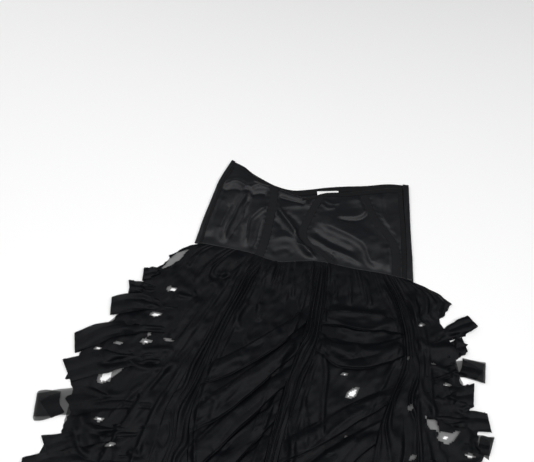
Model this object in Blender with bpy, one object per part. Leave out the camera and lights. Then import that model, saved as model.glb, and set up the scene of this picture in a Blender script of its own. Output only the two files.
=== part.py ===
"""Strapless dress laid flat on its back.

A boned satin bodice is seamed to a long chiffon skirt. The skirt is gathered at the waist and into
three long bundles. Looped chiffon strips hang as swags between the bundles, and at both side edges
they fold back on themselves as straight-ended tabs.

Tables and sizes are in millimetres. +Y runs from the hem to the neck, and +X is the right side of
the laid dress. The tables count from the middle of the waist seam, "down" being the way to the hem.
"""
from collections import namedtuple
import math

import bmesh
import bpy

MM = 0.001

# Driving sizes
SKIRT_LENGTH = 575.0
SATIN_WALL = 1.3
CHIFFON_WALL = 1.2
STRIP_WALL = 1.1
BACK_WALL = 1.4
TRIM_WALL = 1.0
SEAM_GAP = 0.4
LAY_GAP = 0.35
STRIP_GAP = 0.75
BODICE_BASE = 5.75
SKIRT_BASE = 3.4
SIDE_BASE = 3.0
CHANNEL_WIDTH = 17.0
BINDING_WIDTH = 9.5
BACK_BINDING_WIDTH = 13.0
SIDE_BAND_LEFT = 5.0
SIDE_BAND_RIGHT = 9.0
BACK_CELLS = 14

# Waist seam: how far it strays from a straight line
Seam = namedtuple("Seam", "x y")
WAIST_SEAM = [
    Seam(-215, 0), Seam(-172, 0), Seam(-104, -3), Seam(-50, -12), Seam(-15, -5),
    Seam(30, 3), Seam(97, 0), Seam(151, 0), Seam(213, -5),
]

# Top edges of the bodice, which dip left of the middle and peak at the left corner
Top = namedtuple("Top", "x front back")
TOP_EDGE = [
    Top(-184, 199, 201), Top(-155, 186, 191), Top(-134, 169, 178), Top(-112, 156, 168),
    Top(-82, 151, 157), Top(-48, 142, 153), Top(-17, 139, 160), Top(20, 156, 172),
    Top(59, 165, 182), Top(96, 176, 190), Top(143, 190, 203), Top(184, 196, 206),
]

# Bodice guide lines, from the waist seam (0) to the top edge (1)
Guide = namedtuple("Guide", "rise outline_left left channel_a channel_b channel_c right outline_right")
BODICE_GUIDES = [
    Guide(0.00, -215, -205, -86, 57, 178, 198, 212),
    Guide(0.12, -213, -203.5, -83, 36, 176, 195.5, 208.5),
    Guide(0.25, -211, -202, -81, -2, 173, 193, 205),
    Guide(0.40, -207.5, -199, -80, -12, 164, 189, 200),
    Guide(0.50, -205, -197, -80, -9, 149, 186, 197),
    Guide(0.60, -202.5, -194.5, -80, -5, 132, 183, 194),
    Guide(0.75, -198, -190, -80, 1, 113, 178, 190),
    Guide(1.00, -183, -174, -84, 13, 91, 170, 183),
]
BODICE_ROWS = 14

# Zones across the bodice front: each starts at a guide line moved by an offset
Zone = namedtuple("Zone", "name cells guide offset")
BODICE_ZONES = [
    Zone("side_band_left", 1, "left", 0.0),
    Zone("left", 7, "left", SIDE_BAND_LEFT),
    Zone("channel_left", 2, "channel_a", -CHANNEL_WIDTH / 2),
    Zone("left_middle", 10, "channel_a", CHANNEL_WIDTH / 2),
    Zone("channel_middle", 2, "channel_b", -CHANNEL_WIDTH / 2),
    Zone("right_middle", 9, "channel_b", CHANNEL_WIDTH / 2),
    Zone("channel_right", 2, "channel_c", -CHANNEL_WIDTH / 2),
    Zone("right", 3, "channel_c", CHANNEL_WIDTH / 2),
    Zone("side_band_right", 1, "right", -SIDE_BAND_RIGHT),
    Zone("edge", 0, "right", 0.0),
]

# Satin folds of the bodice front: a ridge through three points, its height and half width
Fold = namedtuple("Fold", "height width x0 y0 x1 y1 x2 y2")
SATIN_FOLDS = [
    Fold(6.0, 8, -187, 137, -160, 160, -135, 134),
    Fold(5.5, 8, -135, 134, -122, 151, -96, 152),
    Fold(8.5, 9, -135, 134, -152, 85, -158, 8),
    Fold(7.0, 8, -92, 106, -127, 70, -115, 5),
    Fold(5.0, 8, -72, 147, -44, 146, -13, 131),
    Fold(3.0, 9, -69, 105, -39, 115, -2, 125),
    Fold(8.0, 8, -70, 103, -38, 73, 28, 3),
    Fold(5.0, 9, -75, 29, -24, 56, 17, 3),
    Fold(9.0, 13, 14, 88, 112, 68, 144, 3),
    Fold(4.0, 9, -3, 55, 50, 34, 121, 7),
    Fold(4.0, 10, 42, 107, 124, 112, 76, 150),
    Fold(3.0, 9, 131, 174, 142, 124, 166, 74),
    Fold(3.0, 8, -199, 118, -204, 64, -198, 20),
]
FOLD_STEPS = 10
FOLD_END = 0.2
SEAM_FADE = 0.06
TOP_FADE = 0.07
SIDE_FADE = 8.0
TURN_ANGLES = [math.radians(45), math.radians(90), math.radians(135)]

# Side edges of the skirt, with the gathered puff at the right of the waist
Edge = namedtuple("Edge", "down left right")
SKIRT_EDGES = [
    Edge(0, -206, 208), Edge(10, -224, 238), Edge(25, -241, 268), Edge(42, -255, 281),
    Edge(60, -266, 272), Edge(76, -275, 259), Edge(96, -286, 272), Edge(121, -301, 292),
    Edge(150, -316, 302), Edge(182, -328, 313), Edge(213, -348, 321), Edge(251, -361, 339),
    Edge(300, -360, 347), Edge(340, -357, 350), Edge(416, -358, 356), Edge(490, -380, 372),
    Edge(575, -402, 390),
]

# Gathered bundles of the skirt: middle and width of each
Bundles = namedtuple("Bundles", "down a a_width b b_width c c_width")
BUNDLES = [
    Bundles(0, -86, 24, 34, 20, 160, 26),
    Bundles(70, -105, 33, 39, 29, 200, 24),
    Bundles(160, -131, 34, 37, 34, 222, 29),
    Bundles(250, -153, 37, 20, 31, 212, 56),
    Bundles(330, -167, 50, 9, 27, 213, 82),
    Bundles(410, -163, 68, 5, 28, 213, 82),
    Bundles(490, -166, 75, 2, 34, 215, 82),
    Bundles(575, -172, 80, 0, 44, 218, 86),
]
FINE_ROWS = [0, 12, 30, 56]
COARSE_ROWS = [88, 140, 195, 250, 305, 370, 435, 505, 575]
BACK_ROWS = [8, 16, 25, 34, 42, 51, 60, 68, 76, 86, 96, 108, 121, 135, 150, 166, 182, 197, 213, 232,
             251, 275, 300, 320, 340, 378, 416, 453, 490, 532, 575]
GATHERS = {"left": 6, "left_middle": 6, "right_middle": 6, "right": 4}
CELLS_PER_FOLD = 4
FOLDS_PER_BUNDLE = 3
WAIST_DROP = 50.0
EDGE_DROP = 25.0
SEAM_FOLLOW = 90.0
GATHER_HEIGHT = 4.2
GATHER_UNEVENNESS = 0.3
GATHER_TURN = 1.9
GATHER_START = 0.4
GATHER_RISE = 14.0
GATHER_LENGTH = 86.0
GATHER_FADE = 40.0
FIRST_GATHER = 0.15
GATHER_GAIN = 0.5
BUNDLE_HEIGHT = 9.0
BUNDLE_STEEPNESS = 0.85
BUNDLE_UNEVENNESS = 0.12
BUNDLE_TURN = 2.1
BUNDLE_WAVE = 60.0
BUNDLE_START = 0.35
BUNDLE_RISE = 30.0

# Swags between the bundles: depth of the middle line at each end, its sag, height and lift
Swag = namedtuple("Swag", "name left_down right_down sag height lift")
MIDDLE_SWAGS = [
    Swag("swag_middle_1", 254, 108, 12, 56, 8.0),
    Swag("swag_middle_2", 336, 162, 18, 66, 9.5),
    Swag("swag_middle_3", 404, 226, 12, 64, 9.0),
    Swag("swag_middle_4", 462, 292, 14, 64, 9.5),
    Swag("swag_middle_5", 508, 362, 10, 62, 9.0),
    Swag("swag_middle_6", 549, 426, 6, 52, 8.0),
]
RIGHT_SWAGS = [
    Swag("swag_right_1", 109, 102, -2, 36, 9.0),
    Swag("swag_right_2", 156, 136, 26, 52, 9.0),
    Swag("swag_right_3", 364, 230, 4, 54, 9.5),
    Swag("swag_right_4", 434, 300, 6, 64, 9.0),
    Swag("swag_right_5", 497, 368, 8, 62, 9.5),
    Swag("swag_right_6", 549, 436, 4, 56, 8.5),
]
SWAG_STEPS = 8
SWAG_CELLS = 3
SWAG_END_GAP = 1.5
SWAG_RIPPLE = 1.0
SWAG_WAVES = 2
SWAG_END_HEIGHT = 0.72
SWAG_END_LIFT = 0.45
SWAG_LIFT_POWER = 1.4

# Side strips: where each leaves the skirt, where its folded tab ends, its sag, width and lift
Strip = namedtuple("Strip", "root_x root_down tip_x tip_down sag width lift")
LEFT_STRIPS = [
    Strip(-250, 69, -294, 83, 0, 22, 1.5),
    Strip(-256, 106, -313, 113, 0, 23, 2.5),
    Strip(-215, 140, -336, 158, -10, 30, 4.0),
    Strip(-220, 180, -381, 238, -14, 34, 5.0),
    Strip(-222, 238, -379, 291, -8, 38, 4.5),
    Strip(-212, 318, -414, 361, -6, 42, 5.5),
    Strip(-214, 368, -376, 424, -6, 30, 5.0),
    Strip(-216, 420, -403, 468, -6, 34, 5.0),
    Strip(-220, 464, -410, 514, -6, 36, 5.0),
    Strip(-226, 514, -422, 557, -4, 30, 5.0),
]
RIGHT_STRIPS = [
    Strip(258, 118, 325, 66, 0, 26, 3.0),
    Strip(280, 140, 313, 114, 0, 28, 2.5),
    Strip(252, 196, 352, 160, -15, 31, 4.5),
    Strip(256, 222, 334, 203, 0, 34, 4.0),
    Strip(258, 252, 363, 249, 0, 28, 3.5),
    Strip(320, 288, 369, 288, 0, 28, 3.0),
    Strip(266, 336, 368, 336, 6, 34, 5.0),
    Strip(268, 376, 387, 382, 6, 36, 5.0),
    Strip(268, 420, 378, 428, 6, 36, 5.0),
    Strip(270, 464, 401, 472, 6, 36, 5.0),
    Strip(272, 508, 410, 515, 4, 34, 5.0),
    Strip(274, 548, 414, 554, 0, 32, 4.5),
]
STRIP_STEPS = 5
STRIP_CELLS = 2
TURN_STEPS = 4
RETURN_STEPS = 2
TAB_TOP = 6.0
RETURN_CLEARANCE = 2.0
LONGEST_RETURN = 40.0
ROOT_WIDTH = 0.8
EDGE_RISE = 22.0
LIFT_END = 0.85
STRIP_LIFT_POWER = 1.3
HEADING_STEP = 0.02
CORNER_CLEARANCE = 1.0

# See-through places, cut through front and back: a lens of this length, width and turn
Hole = namedtuple("Hole", "x down length width turn")
HOLES = [
    Hole(-309, 288, 34, 22, 50),
    Hole(126, 238, 30, 14, 45),
    Hole(284, 281, 52, 26, -12),
    Hole(-232, 103, 16, 8, 10),
    Hole(-252, 158, 22, 9, 10),
    Hole(-256, 212, 24, 10, 14),
    Hole(-338, 240, 14, 6, 18),
    Hole(-300, 363, 20, 8, 14),
    Hole(-268, 403, 18, 7, 16),
    Hole(-292, 457, 16, 5, 14),
    Hole(-296, 507, 16, 5, 14),
    Hole(234, 90, 14, 7, 30),
    Hole(288, 194, 16, 6, 8),
    Hole(334, 310, 18, 7, 0),
    Hole(310, 359, 20, 7, 0),
    Hole(330, 408, 18, 5, 0),
    Hole(312, 451, 18, 5, 0),
    Hole(108, 208, 14, 7, 20),
]
LENS_POINTS = 4
CUTTER_BOTTOM = -5.0
CUTTER_TOP = 40.0
STEEPEST = 1.8

BINDING_FROM_X = -24.0
LABEL = {"x": 25.0, "y": 154.0, "width": 43.0, "height": 18.0, "tilt": 12.0, "thickness": 1.0}


def lerp(a, b, t):
    """Blend two values."""
    return a + (b - a) * t


def ease(t):
    """Smooth step from 0 to 1."""
    t = min(1.0, max(0.0, t))
    return t * t * (3.0 - 2.0 * t)


def read(table, key, column, value):
    """Read a column of a table at a value of its key column, along a smooth curve."""
    keys = [getattr(row, key) for row in table]
    values = [getattr(row, column) for row in table]
    value = min(max(value, keys[0]), keys[-1])
    i = next(k for k in range(len(keys) - 1) if value <= keys[k + 1])
    span = keys[i + 1] - keys[i]
    t = (value - keys[i]) / span
    before = max(i - 1, 0)
    after = min(i + 2, len(keys) - 1)
    slope_in = (values[i + 1] - values[before]) / (keys[i + 1] - keys[before]) * span
    slope_out = (values[after] - values[i]) / (keys[after] - keys[i]) * span
    start = values[i] * (2 * t**3 - 3 * t**2 + 1) + slope_in * (t**3 - 2 * t**2 + t)
    return start + values[i + 1] * (3 * t**2 - 2 * t**3) + slope_out * (t**3 - t**2)


def seam_y(x):
    """Y of the waist seam."""
    return read(WAIST_SEAM, "x", "y", x)


def new_material(name, color, roughness, sheen):
    """Cloth material with the garment's colour."""
    material = bpy.data.materials.new(name)
    material.use_nodes = True
    shader = material.node_tree.nodes["Principled BSDF"]
    shader.inputs["Base Color"].default_value = (*color, 1.0)
    shader.inputs["Roughness"].default_value = roughness
    shader.inputs["Metallic"].default_value = 0.0
    shader.inputs["Sheen Weight"].default_value = sheen
    return material


def add_object(name, points, faces, material):
    """Make one object from points in millimetres and their faces."""
    mesh = bpy.data.meshes.new(name)
    mesh.from_pydata([(x * MM, y * MM, z * MM) for x, y, z in points], [], faces)
    mesh.materials.append(material)
    mesh.shade_smooth()
    item = bpy.data.objects.new(name, mesh)
    bpy.context.scene.collection.objects.link(item)
    return item


def close_wall(name, upper, lower, triangles, material):
    """Close the gap between an upper and a lower copy of one sheet of triangles."""
    count = len(upper)
    faces = list(triangles)
    faces += [(c + count, b + count, a + count) for a, b, c in triangles]
    directed = set()
    for a, b, c in triangles:
        directed.update([(a, b), (b, c), (c, a)])
    for a, b in sorted(directed):
        if (b, a) not in directed:
            faces += [(b, a, a + count), (b, a + count, b + count)]
    return add_object(name, list(upper) + list(lower), faces, material)


def grid_triangles(rows, columns, width):
    """Triangles of a grid whose rows hold `width` points, columns running to the right."""
    triangles = []
    for i in rows:
        for j in columns:
            a = i * width + j
            b = a + 1
            c = a + width + 1
            d = a + width
            triangles += [(a, b, c), (a, c, d)]
    return triangles


def lowered(points, triangles, thickness):
    """Points moved straight down, further on slopes, so that the wall keeps its thickness."""
    slope = [0.0] * len(points)
    for face in triangles:
        (ax, ay, az), (bx, by, bz), (cx, cy, cz) = (points[k] for k in face)
        nx = (by - ay) * (cz - az) - (bz - az) * (cy - ay)
        ny = (bz - az) * (cx - ax) - (bx - ax) * (cz - az)
        nz = (bx - ax) * (cy - ay) - (by - ay) * (cx - ax)
        steep = math.sqrt(nx * nx + ny * ny + nz * nz) / abs(nz)
        for k in face:
            slope[k] = max(slope[k], min(steep, STEEPEST))
    return [(x, y, z - thickness * slope[k]) for k, (x, y, z) in enumerate(points)]


def lens_outline(hole):
    """Points around one see-through place."""
    turn = math.radians(hole.turn)
    outline = []
    for side in (1, -1):
        for k in range(LENS_POINTS):
            along = side * (0.5 - k / LENS_POINTS) * hole.length
            across = side * math.sin(math.pi * k / LENS_POINTS) * hole.width / 2
            x = hole.x + along * math.cos(turn) - across * math.sin(turn)
            y = -hole.down + along * math.sin(turn) + across * math.cos(turn)
            outline.append((x, y))
    return outline


def cut_holes(item):
    """Cut every see-through place out of a panel."""
    points = []
    faces = []
    for hole in HOLES:
        outline = lens_outline(hole)
        count = len(outline)
        first = len(points)
        points += [(x, y, CUTTER_BOTTOM) for x, y in outline]
        points += [(x, y, CUTTER_TOP) for x, y in outline]
        faces.append([first + k for k in range(count)][::-1])
        faces.append([first + count + k for k in range(count)])
        for k in range(count):
            after = (k + 1) % count
            faces.append((first + k, first + after, first + count + after, first + count + k))
    cutter = add_object(item.name + "_cutter", points, faces, item.data.materials[0])
    form = bmesh.new()
    form.from_mesh(cutter.data)
    bmesh.ops.recalc_face_normals(form, faces=form.faces)
    form.to_mesh(cutter.data)
    form.free()
    cutter.hide_render = True
    cutter.display_type = "WIRE"
    cut = item.modifiers.new("holes", "BOOLEAN")
    cut.operation = "DIFFERENCE"
    cut.solver = "EXACT"
    cut.object = cutter


# Bodice

def ridge_height(fold, x, y):
    """Height that one satin fold adds at a point."""
    nearest = None
    for k in range(FOLD_STEPS):
        ends = []
        for t in (k / FOLD_STEPS, (k + 1) / FOLD_STEPS):
            px = lerp(lerp(fold.x0, fold.x1, t), lerp(fold.x1, fold.x2, t), t)
            py = lerp(lerp(fold.y0, fold.y1, t), lerp(fold.y1, fold.y2, t), t)
            ends.append((px, py))
        (ax, ay), (bx, by) = ends
        length = (bx - ax)**2 + (by - ay)**2
        t = min(1.0, max(0.0, ((x - ax) * (bx - ax) + (y - ay) * (by - ay)) / length))
        distance = math.hypot(x - lerp(ax, bx, t), y - lerp(ay, by, t))
        if nearest is None or distance < nearest[0]:
            nearest = (distance, (k + t) / FOLD_STEPS)
    distance, place = nearest
    fade = ease(place / FOLD_END) * ease((1.0 - place) / FOLD_END)
    return fold.height * fade * math.exp(-(distance / fold.width)**2)


def bodice_lines():
    """Grid lines of the bodice front, each between the starts of two zones."""
    lines = []
    for zone, after in zip(BODICE_ZONES, BODICE_ZONES[1:]):
        lines += [(zone, after, step / zone.cells) for step in range(zone.cells)]
    lines.append((BODICE_ZONES[-1], BODICE_ZONES[-1], 0.0))
    return lines


def line_x(line, rise):
    """X of a grid line of the bodice front at a height between seam and top."""
    zone, after, blend = line
    start = read(BODICE_GUIDES, "rise", zone.guide, rise) + zone.offset
    end = read(BODICE_GUIDES, "rise", after.guide, rise) + after.offset
    return lerp(start, end, blend)


def bodice_rises():
    """Row heights of the bodice front. The last row is the top binding's, and under it is a seam."""
    middle = (BODICE_GUIDES[0].channel_b + BODICE_GUIDES[-1].channel_c) / 2
    height = read(TOP_EDGE, "x", "front", middle) - seam_y(middle)
    last = 1.0 - BINDING_WIDTH / height
    seam = last - SEAM_GAP / height
    return [seam * k / BODICE_ROWS for k in range(BODICE_ROWS + 1)] + [last, 1.0]


def bodice_height(x, y, rise, side):
    """Top of the satin: its base and the folds, which die away at the edges."""
    fade = ease(rise / SEAM_FADE) * ease((1.0 - rise) / TOP_FADE) * ease(side / SIDE_FADE)
    return BODICE_BASE + fade * sum(ridge_height(fold, x, y) for fold in SATIN_FOLDS)


def bodice_front_points():
    """Upper points of the bodice front, row by row from the seam."""
    lines = bodice_lines()
    points = []
    for rise in bodice_rises():
        left = line_x(lines[0], rise)
        right = line_x(lines[-1], rise)
        for line in lines:
            x = line_x(line, rise)
            bottom = seam_y(line_x(line, 0.0)) + SEAM_GAP / 2
            top = read(TOP_EDGE, "x", "front", line_x(line, 1.0))
            y = lerp(bottom, top, rise)
            points.append((x, y, bodice_height(x, y, rise, min(x - left, right - x))))
    return points, len(lines)


def patch(name, points, width, rows, columns, material):
    """Trim that lies on a panel: the panel's own points moved out."""
    kept = sorted({i * width + j for i in rows for j in columns})
    index = {old: new for new, old in enumerate(kept)}
    cells = grid_triangles(rows[:-1], columns[:-1], width)
    triangles = [tuple(index[k] for k in face) for face in cells]
    lower = [(x, y, z + LAY_GAP) for x, y, z in (points[k] for k in kept)]
    upper = [(x, y, z + TRIM_WALL) for x, y, z in lower]
    return close_wall(name, upper, lower, triangles, material)


def make_bodice_front(satin, channel, binding):
    """Satin front with its folds, boning channels, side bands and top binding."""
    points, width = bodice_front_points()
    rows = list(range(BODICE_ROWS + 3))
    triangles = grid_triangles(rows[:-1], range(width - 1), width)
    items = [close_wall("bodice_front", points, lowered(points, triangles, SATIN_WALL),
                        triangles, satin)]
    first = 0
    for zone in BODICE_ZONES:
        columns = list(range(first, first + zone.cells + 1))
        first += zone.cells
        if zone.name.startswith("channel"):
            # The left channel runs up over the folded edge, the others stop under the binding
            last = len(rows) if zone.name == "channel_left" else BODICE_ROWS + 1
            items.append(patch(zone.name, points, width, rows[:last], columns, channel))
        if zone.name.startswith("side_band"):
            items.append(patch(zone.name, points, width, rows[:BODICE_ROWS + 1], columns, binding))
    start = next(j for j in range(width) if points[-width + j][0] > BINDING_FROM_X)
    items.append(patch("binding_front", points, width, rows[-2:], list(range(start, width)),
                       binding))
    return items


def back_section(rise):
    """Middle line of the back panel at one height: flat, and turned over at both sides."""
    bottom = BACK_WALL / 2
    top = BODICE_BASE - SATIN_WALL / 2
    radius = (top - bottom) / 2
    left = read(BODICE_GUIDES, "rise", "outline_left", rise) + BACK_WALL / 2 + radius
    right = read(BODICE_GUIDES, "rise", "outline_right", rise) - BACK_WALL / 2 - radius
    front_left = read(BODICE_GUIDES, "rise", "left", rise) - SEAM_GAP
    front_right = read(BODICE_GUIDES, "rise", "right", rise) + SEAM_GAP
    turn = [(math.sin(angle), math.cos(angle)) for angle in TURN_ANGLES]
    section = [(front_left, top), (left, top)]
    section += [(left - radius * s, bottom + radius + radius * c) for s, c in turn]
    section += [(lerp(left, right, k / BACK_CELLS), bottom) for k in range(BACK_CELLS + 1)]
    section += [(right + radius * s, bottom + radius - radius * c) for s, c in turn]
    section += [(right, top), (front_right, top)]
    return section


def sheet_normals(points, rows, width):
    """Unit normals of a grid sheet, up for rows toward +Y and columns toward +X."""
    def point(i, j):
        return points[min(max(i, 0), rows - 1) * width + min(max(j, 0), width - 1)]
    normals = []
    for i in range(rows):
        for j in range(width):
            u = [q - p for p, q in zip(point(i, j - 1), point(i, j + 1))]
            v = [q - p for p, q in zip(point(i - 1, j), point(i + 1, j))]
            n = (u[1] * v[2] - u[2] * v[1], u[2] * v[0] - u[0] * v[2], u[0] * v[1] - u[1] * v[0])
            size = math.sqrt(sum(c * c for c in n))
            normals.append(tuple(c / size for c in n))
    return normals


def thick_sheet(name, points, rows, width, thickness, material):
    """Wall on both sides of a grid sheet of middle points."""
    normals = sheet_normals(points, rows, width)
    half = thickness / 2
    upper = [tuple(p + n * half for p, n in zip(*pair)) for pair in zip(points, normals)]
    lower = [tuple(p - n * half for p, n in zip(*pair)) for pair in zip(points, normals)]
    triangles = grid_triangles(range(rows - 1), range(width - 1), width)
    return close_wall(name, upper, lower, triangles, material)


def plate(name, outline, bottom, thickness, material):
    """Flat piece with an outline that runs clockwise seen from above."""
    count = len(outline)
    points = [(x, y, bottom) for x, y in outline]
    points += [(x, y, bottom + thickness) for x, y in outline]
    faces = [tuple(range(count)), tuple(range(2 * count - 1, count - 1, -1))]
    faces += [(k, k + count, (k + 1) % count + count, (k + 1) % count) for k in range(count)]
    return add_object(name, points, faces, material)


def make_bodice_back(satin, binding, label):
    """Back panel, flat on the ground, with its inner binding and blank label."""
    rises = [bodice_rises()[k] for k in range(0, BODICE_ROWS + 1, 2)] + [1.0]
    base = back_section(0.0)
    crown = back_section(1.0)
    points = []
    for rise in rises:
        for (x, z), (x_low, _), (x_top, _) in zip(back_section(rise), base, crown):
            bottom = seam_y(x_low) + SEAM_GAP / 2
            top = read(TOP_EDGE, "x", "back", x_top)
            points.append((x, lerp(bottom, top, rise), z))
    items = [thick_sheet("bodice_back", points, len(rises), len(base), BACK_WALL, satin)]

    edge = [x for x, z in crown if z < BACK_WALL]
    edge = edge[1:-1]
    upper = [(x, read(TOP_EDGE, "x", "back", x) - SEAM_GAP) for x in edge]
    lower = [(x, y - BACK_BINDING_WIDTH) for x, y in reversed(upper)]
    level = BACK_WALL + LAY_GAP
    items.append(plate("binding_back", upper + lower, level, TRIM_WALL, binding))

    tilt = math.radians(LABEL["tilt"])
    corners = []
    for across, up in ((-0.5, 0.5), (0.5, 0.5), (0.5, -0.5), (-0.5, -0.5)):
        x = across * LABEL["width"]
        y = up * LABEL["height"]
        corners.append((LABEL["x"] + x * math.cos(tilt) - y * math.sin(tilt),
                        LABEL["y"] + x * math.sin(tilt) + y * math.cos(tilt)))
    level += TRIM_WALL + LAY_GAP
    items.append(plate("label_blank", corners, level, LABEL["thickness"], label))
    return items


# Skirt

def outline_x(side, down):
    """X of the skirt's side edge."""
    return read(SKIRT_EDGES, "down", side, down)


def bundle_edges(bundle, down):
    """X of the two edges of a gathered bundle."""
    middle = read(BUNDLES, "down", bundle, down)
    half = read(BUNDLES, "down", bundle + "_width", down) / 2
    return middle - half, middle + half


def skirt_base(x, down):
    """Top of the flat cloth between the folds, lower at the side edges."""
    side = min(x - outline_x("left", down), outline_x("right", down) - x)
    base = lerp(BODICE_BASE, SKIRT_BASE, ease(down / WAIST_DROP))
    return lerp(min(base, SIDE_BASE), base, ease(side / EDGE_DROP))


def skirt_columns():
    """Columns of the skirt: zone, fold, place across the zone, and step in the fold."""
    columns = []
    order = ["left", "a", "left_middle", "b", "right_middle", "c", "right"]
    for zone in order:
        folds = GATHERS.get(zone, FOLDS_PER_BUNDLE)
        cells = folds * CELLS_PER_FOLD
        for step in range(cells):
            columns.append((zone, step // CELLS_PER_FOLD, step / cells, step % CELLS_PER_FOLD))
    columns.append(("right", GATHERS["right"], 1.0, 0))
    return columns


def zone_edges(zone, down):
    """X of the two edges of a zone of the skirt."""
    if zone in ("a", "b", "c"):
        return bundle_edges(zone, down)
    before = {"left_middle": "a", "right_middle": "b", "right": "c"}
    after = {"left": "a", "left_middle": "b", "right_middle": "c"}
    start = bundle_edges(before[zone], down)[1] if zone in before else outline_x("left", down)
    end = bundle_edges(after[zone], down)[0] if zone in after else outline_x("right", down)
    return start, end


def fold_rise(zone, fold, step, down):
    """Height of a gather or bundle fold at a column and depth."""
    shape = (1.0 - math.cos(2 * math.pi * step / CELLS_PER_FOLD)) / 2
    if zone in ("a", "b", "c"):
        start, end = bundle_edges(zone, down)
        pitch = (end - start) / FOLDS_PER_BUNDLE
        height = min(BUNDLE_HEIGHT, BUNDLE_STEEPNESS * pitch)
        height *= 1.0 + BUNDLE_UNEVENNESS * math.sin(BUNDLE_TURN * fold + down / BUNDLE_WAVE)
        return shape * height * lerp(BUNDLE_START, 1.0, ease(down / BUNDLE_RISE))
    height = GATHER_HEIGHT
    height *= 1.0 + GATHER_UNEVENNESS * math.sin(GATHER_TURN * fold + len(zone))
    if zone in ("left", "right"):
        from_edge = fold if zone == "left" else GATHERS["right"] - 1 - fold
        height *= ease(FIRST_GATHER + GATHER_GAIN * from_edge)
    height *= lerp(GATHER_START, 1.0, ease(down / GATHER_RISE))
    return shape * height * ease((GATHER_LENGTH - down) / GATHER_FADE)


def skirt_point(column, down):
    """Upper point of the skirt at a column and depth below the seam."""
    zone, fold, blend, step = column
    start, end = zone_edges(zone, down)
    x = lerp(start, end, blend)
    waist = lerp(*zone_edges(zone, 0.0), blend)
    y = (seam_y(waist) - SEAM_GAP / 2) * (1.0 - ease(down / SEAM_FOLLOW)) - down
    return x, y, skirt_base(x, down) + fold_rise(zone, fold, step, down)


def make_skirt_front(chiffon):
    """Front of the skirt: waist gathers on a fine grid, then the bundles on a coarser one."""
    columns = skirt_columns()
    width = len(columns)
    points = [skirt_point(column, down) for down in FINE_ROWS for column in columns]
    points = [points[i * width:(i + 1) * width] for i in range(len(FINE_ROWS))]
    kept = [j for j, column in enumerate(columns) if column[0] in ("a", "b", "c")
            or column[3] == 0]
    points += [[skirt_point(columns[j], down) for j in kept] for down in COARSE_ROWS]
    starts = []
    flat = []
    for row in points:
        starts.append(len(flat))
        flat += row
    triangles = []
    for i in range(len(FINE_ROWS) - 1):
        above, below = starts[i], starts[i + 1]
        for j in range(width - 1):
            triangles += [(below + j, below + j + 1, above + j + 1),
                          (below + j, above + j + 1, above + j)]
    above, below = starts[len(FINE_ROWS) - 1], starts[len(FINE_ROWS)]
    for k in range(len(kept) - 1):
        first, last = kept[k], kept[k + 1]
        middle = (first + last) // 2
        triangles += [(below + k, above + j + 1, above + j) for j in range(first, middle)]
        triangles.append((below + k, below + k + 1, above + middle))
        triangles += [(below + k + 1, above + j + 1, above + j) for j in range(middle, last)]
    for i in range(len(FINE_ROWS), len(points) - 1):
        above, below = starts[i], starts[i + 1]
        for k in range(len(kept) - 1):
            triangles += [(below + k, below + k + 1, above + k + 1),
                          (below + k, above + k + 1, above + k)]
    item = close_wall("skirt_front", flat, lowered(flat, triangles, CHIFFON_WALL), triangles,
                      chiffon)
    cut_holes(item)
    return item


def make_skirt_back(chiffon):
    """Back of the skirt, flat on the ground."""
    left = outline_x("left", 0)
    right = outline_x("right", 0)
    inside_left = left + CORNER_CLEARANCE
    inside_right = right - CORNER_CLEARANCE
    stations = [x for x, z in back_section(0.0) if z < BACK_WALL and inside_left < x < inside_right]
    outline = [(x, seam_y(x) - SEAM_GAP / 2) for x in [left] + stations + [right]]
    outline += [(outline_x("right", down), -down) for down in BACK_ROWS]
    outline += [(outline_x("left", down), -down) for down in reversed(BACK_ROWS)]
    item = plate("skirt_back", outline, 0.0, CHIFFON_WALL, chiffon)
    cut_holes(item)
    return item


# Strips

def make_swag(swag, left_bundle, right_bundle, chiffon):
    """Swag of chiffon between two bundles, lifted along its free lower edge."""
    points = []
    for i in range(SWAG_CELLS, -1, -1):
        across = i / SWAG_CELLS
        for j in range(SWAG_STEPS + 1):
            along = j / SWAG_STEPS
            bow = math.sin(math.pi * along)
            height = swag.height * lerp(SWAG_END_HEIGHT, 1.0, bow)
            middle = lerp(swag.left_down, swag.right_down, along) + swag.sag * bow
            down = middle + (across - 0.5) * height
            left = bundle_edges(left_bundle, down)[1] + SWAG_END_GAP
            right = bundle_edges(right_bundle, down)[0] - SWAG_END_GAP
            x = lerp(left, right, along)
            lift = swag.lift * lerp(SWAG_END_LIFT, 1.0, bow) * across**SWAG_LIFT_POWER
            wave = math.sin(2 * math.pi * SWAG_WAVES * along + swag.sag)
            lift += SWAG_RIPPLE * across * (1.0 + wave)
            z = skirt_base(x, down) + STRIP_GAP + STRIP_WALL / 2 + lift
            points.append((x, -down, z))
    return thick_sheet(swag.name, points, SWAG_CELLS + 1, SWAG_STEPS + 1, STRIP_WALL, chiffon)


def return_length(side, tip, forward, half_width):
    """How far a folded tab can come back along the ground before it meets the skirt's back."""
    back = 0.0
    clear = True
    while clear and back < LONGEST_RETURN:
        back += 1.0
        for edge in (-half_width, half_width):
            x = tip[0] - forward[0] * back - forward[1] * edge
            down = tip[1] - forward[1] * back + forward[0] * edge
            clear = clear and abs(x) > abs(outline_x(side, down)) + RETURN_CLEARANCE
    return back - 1.0


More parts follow.
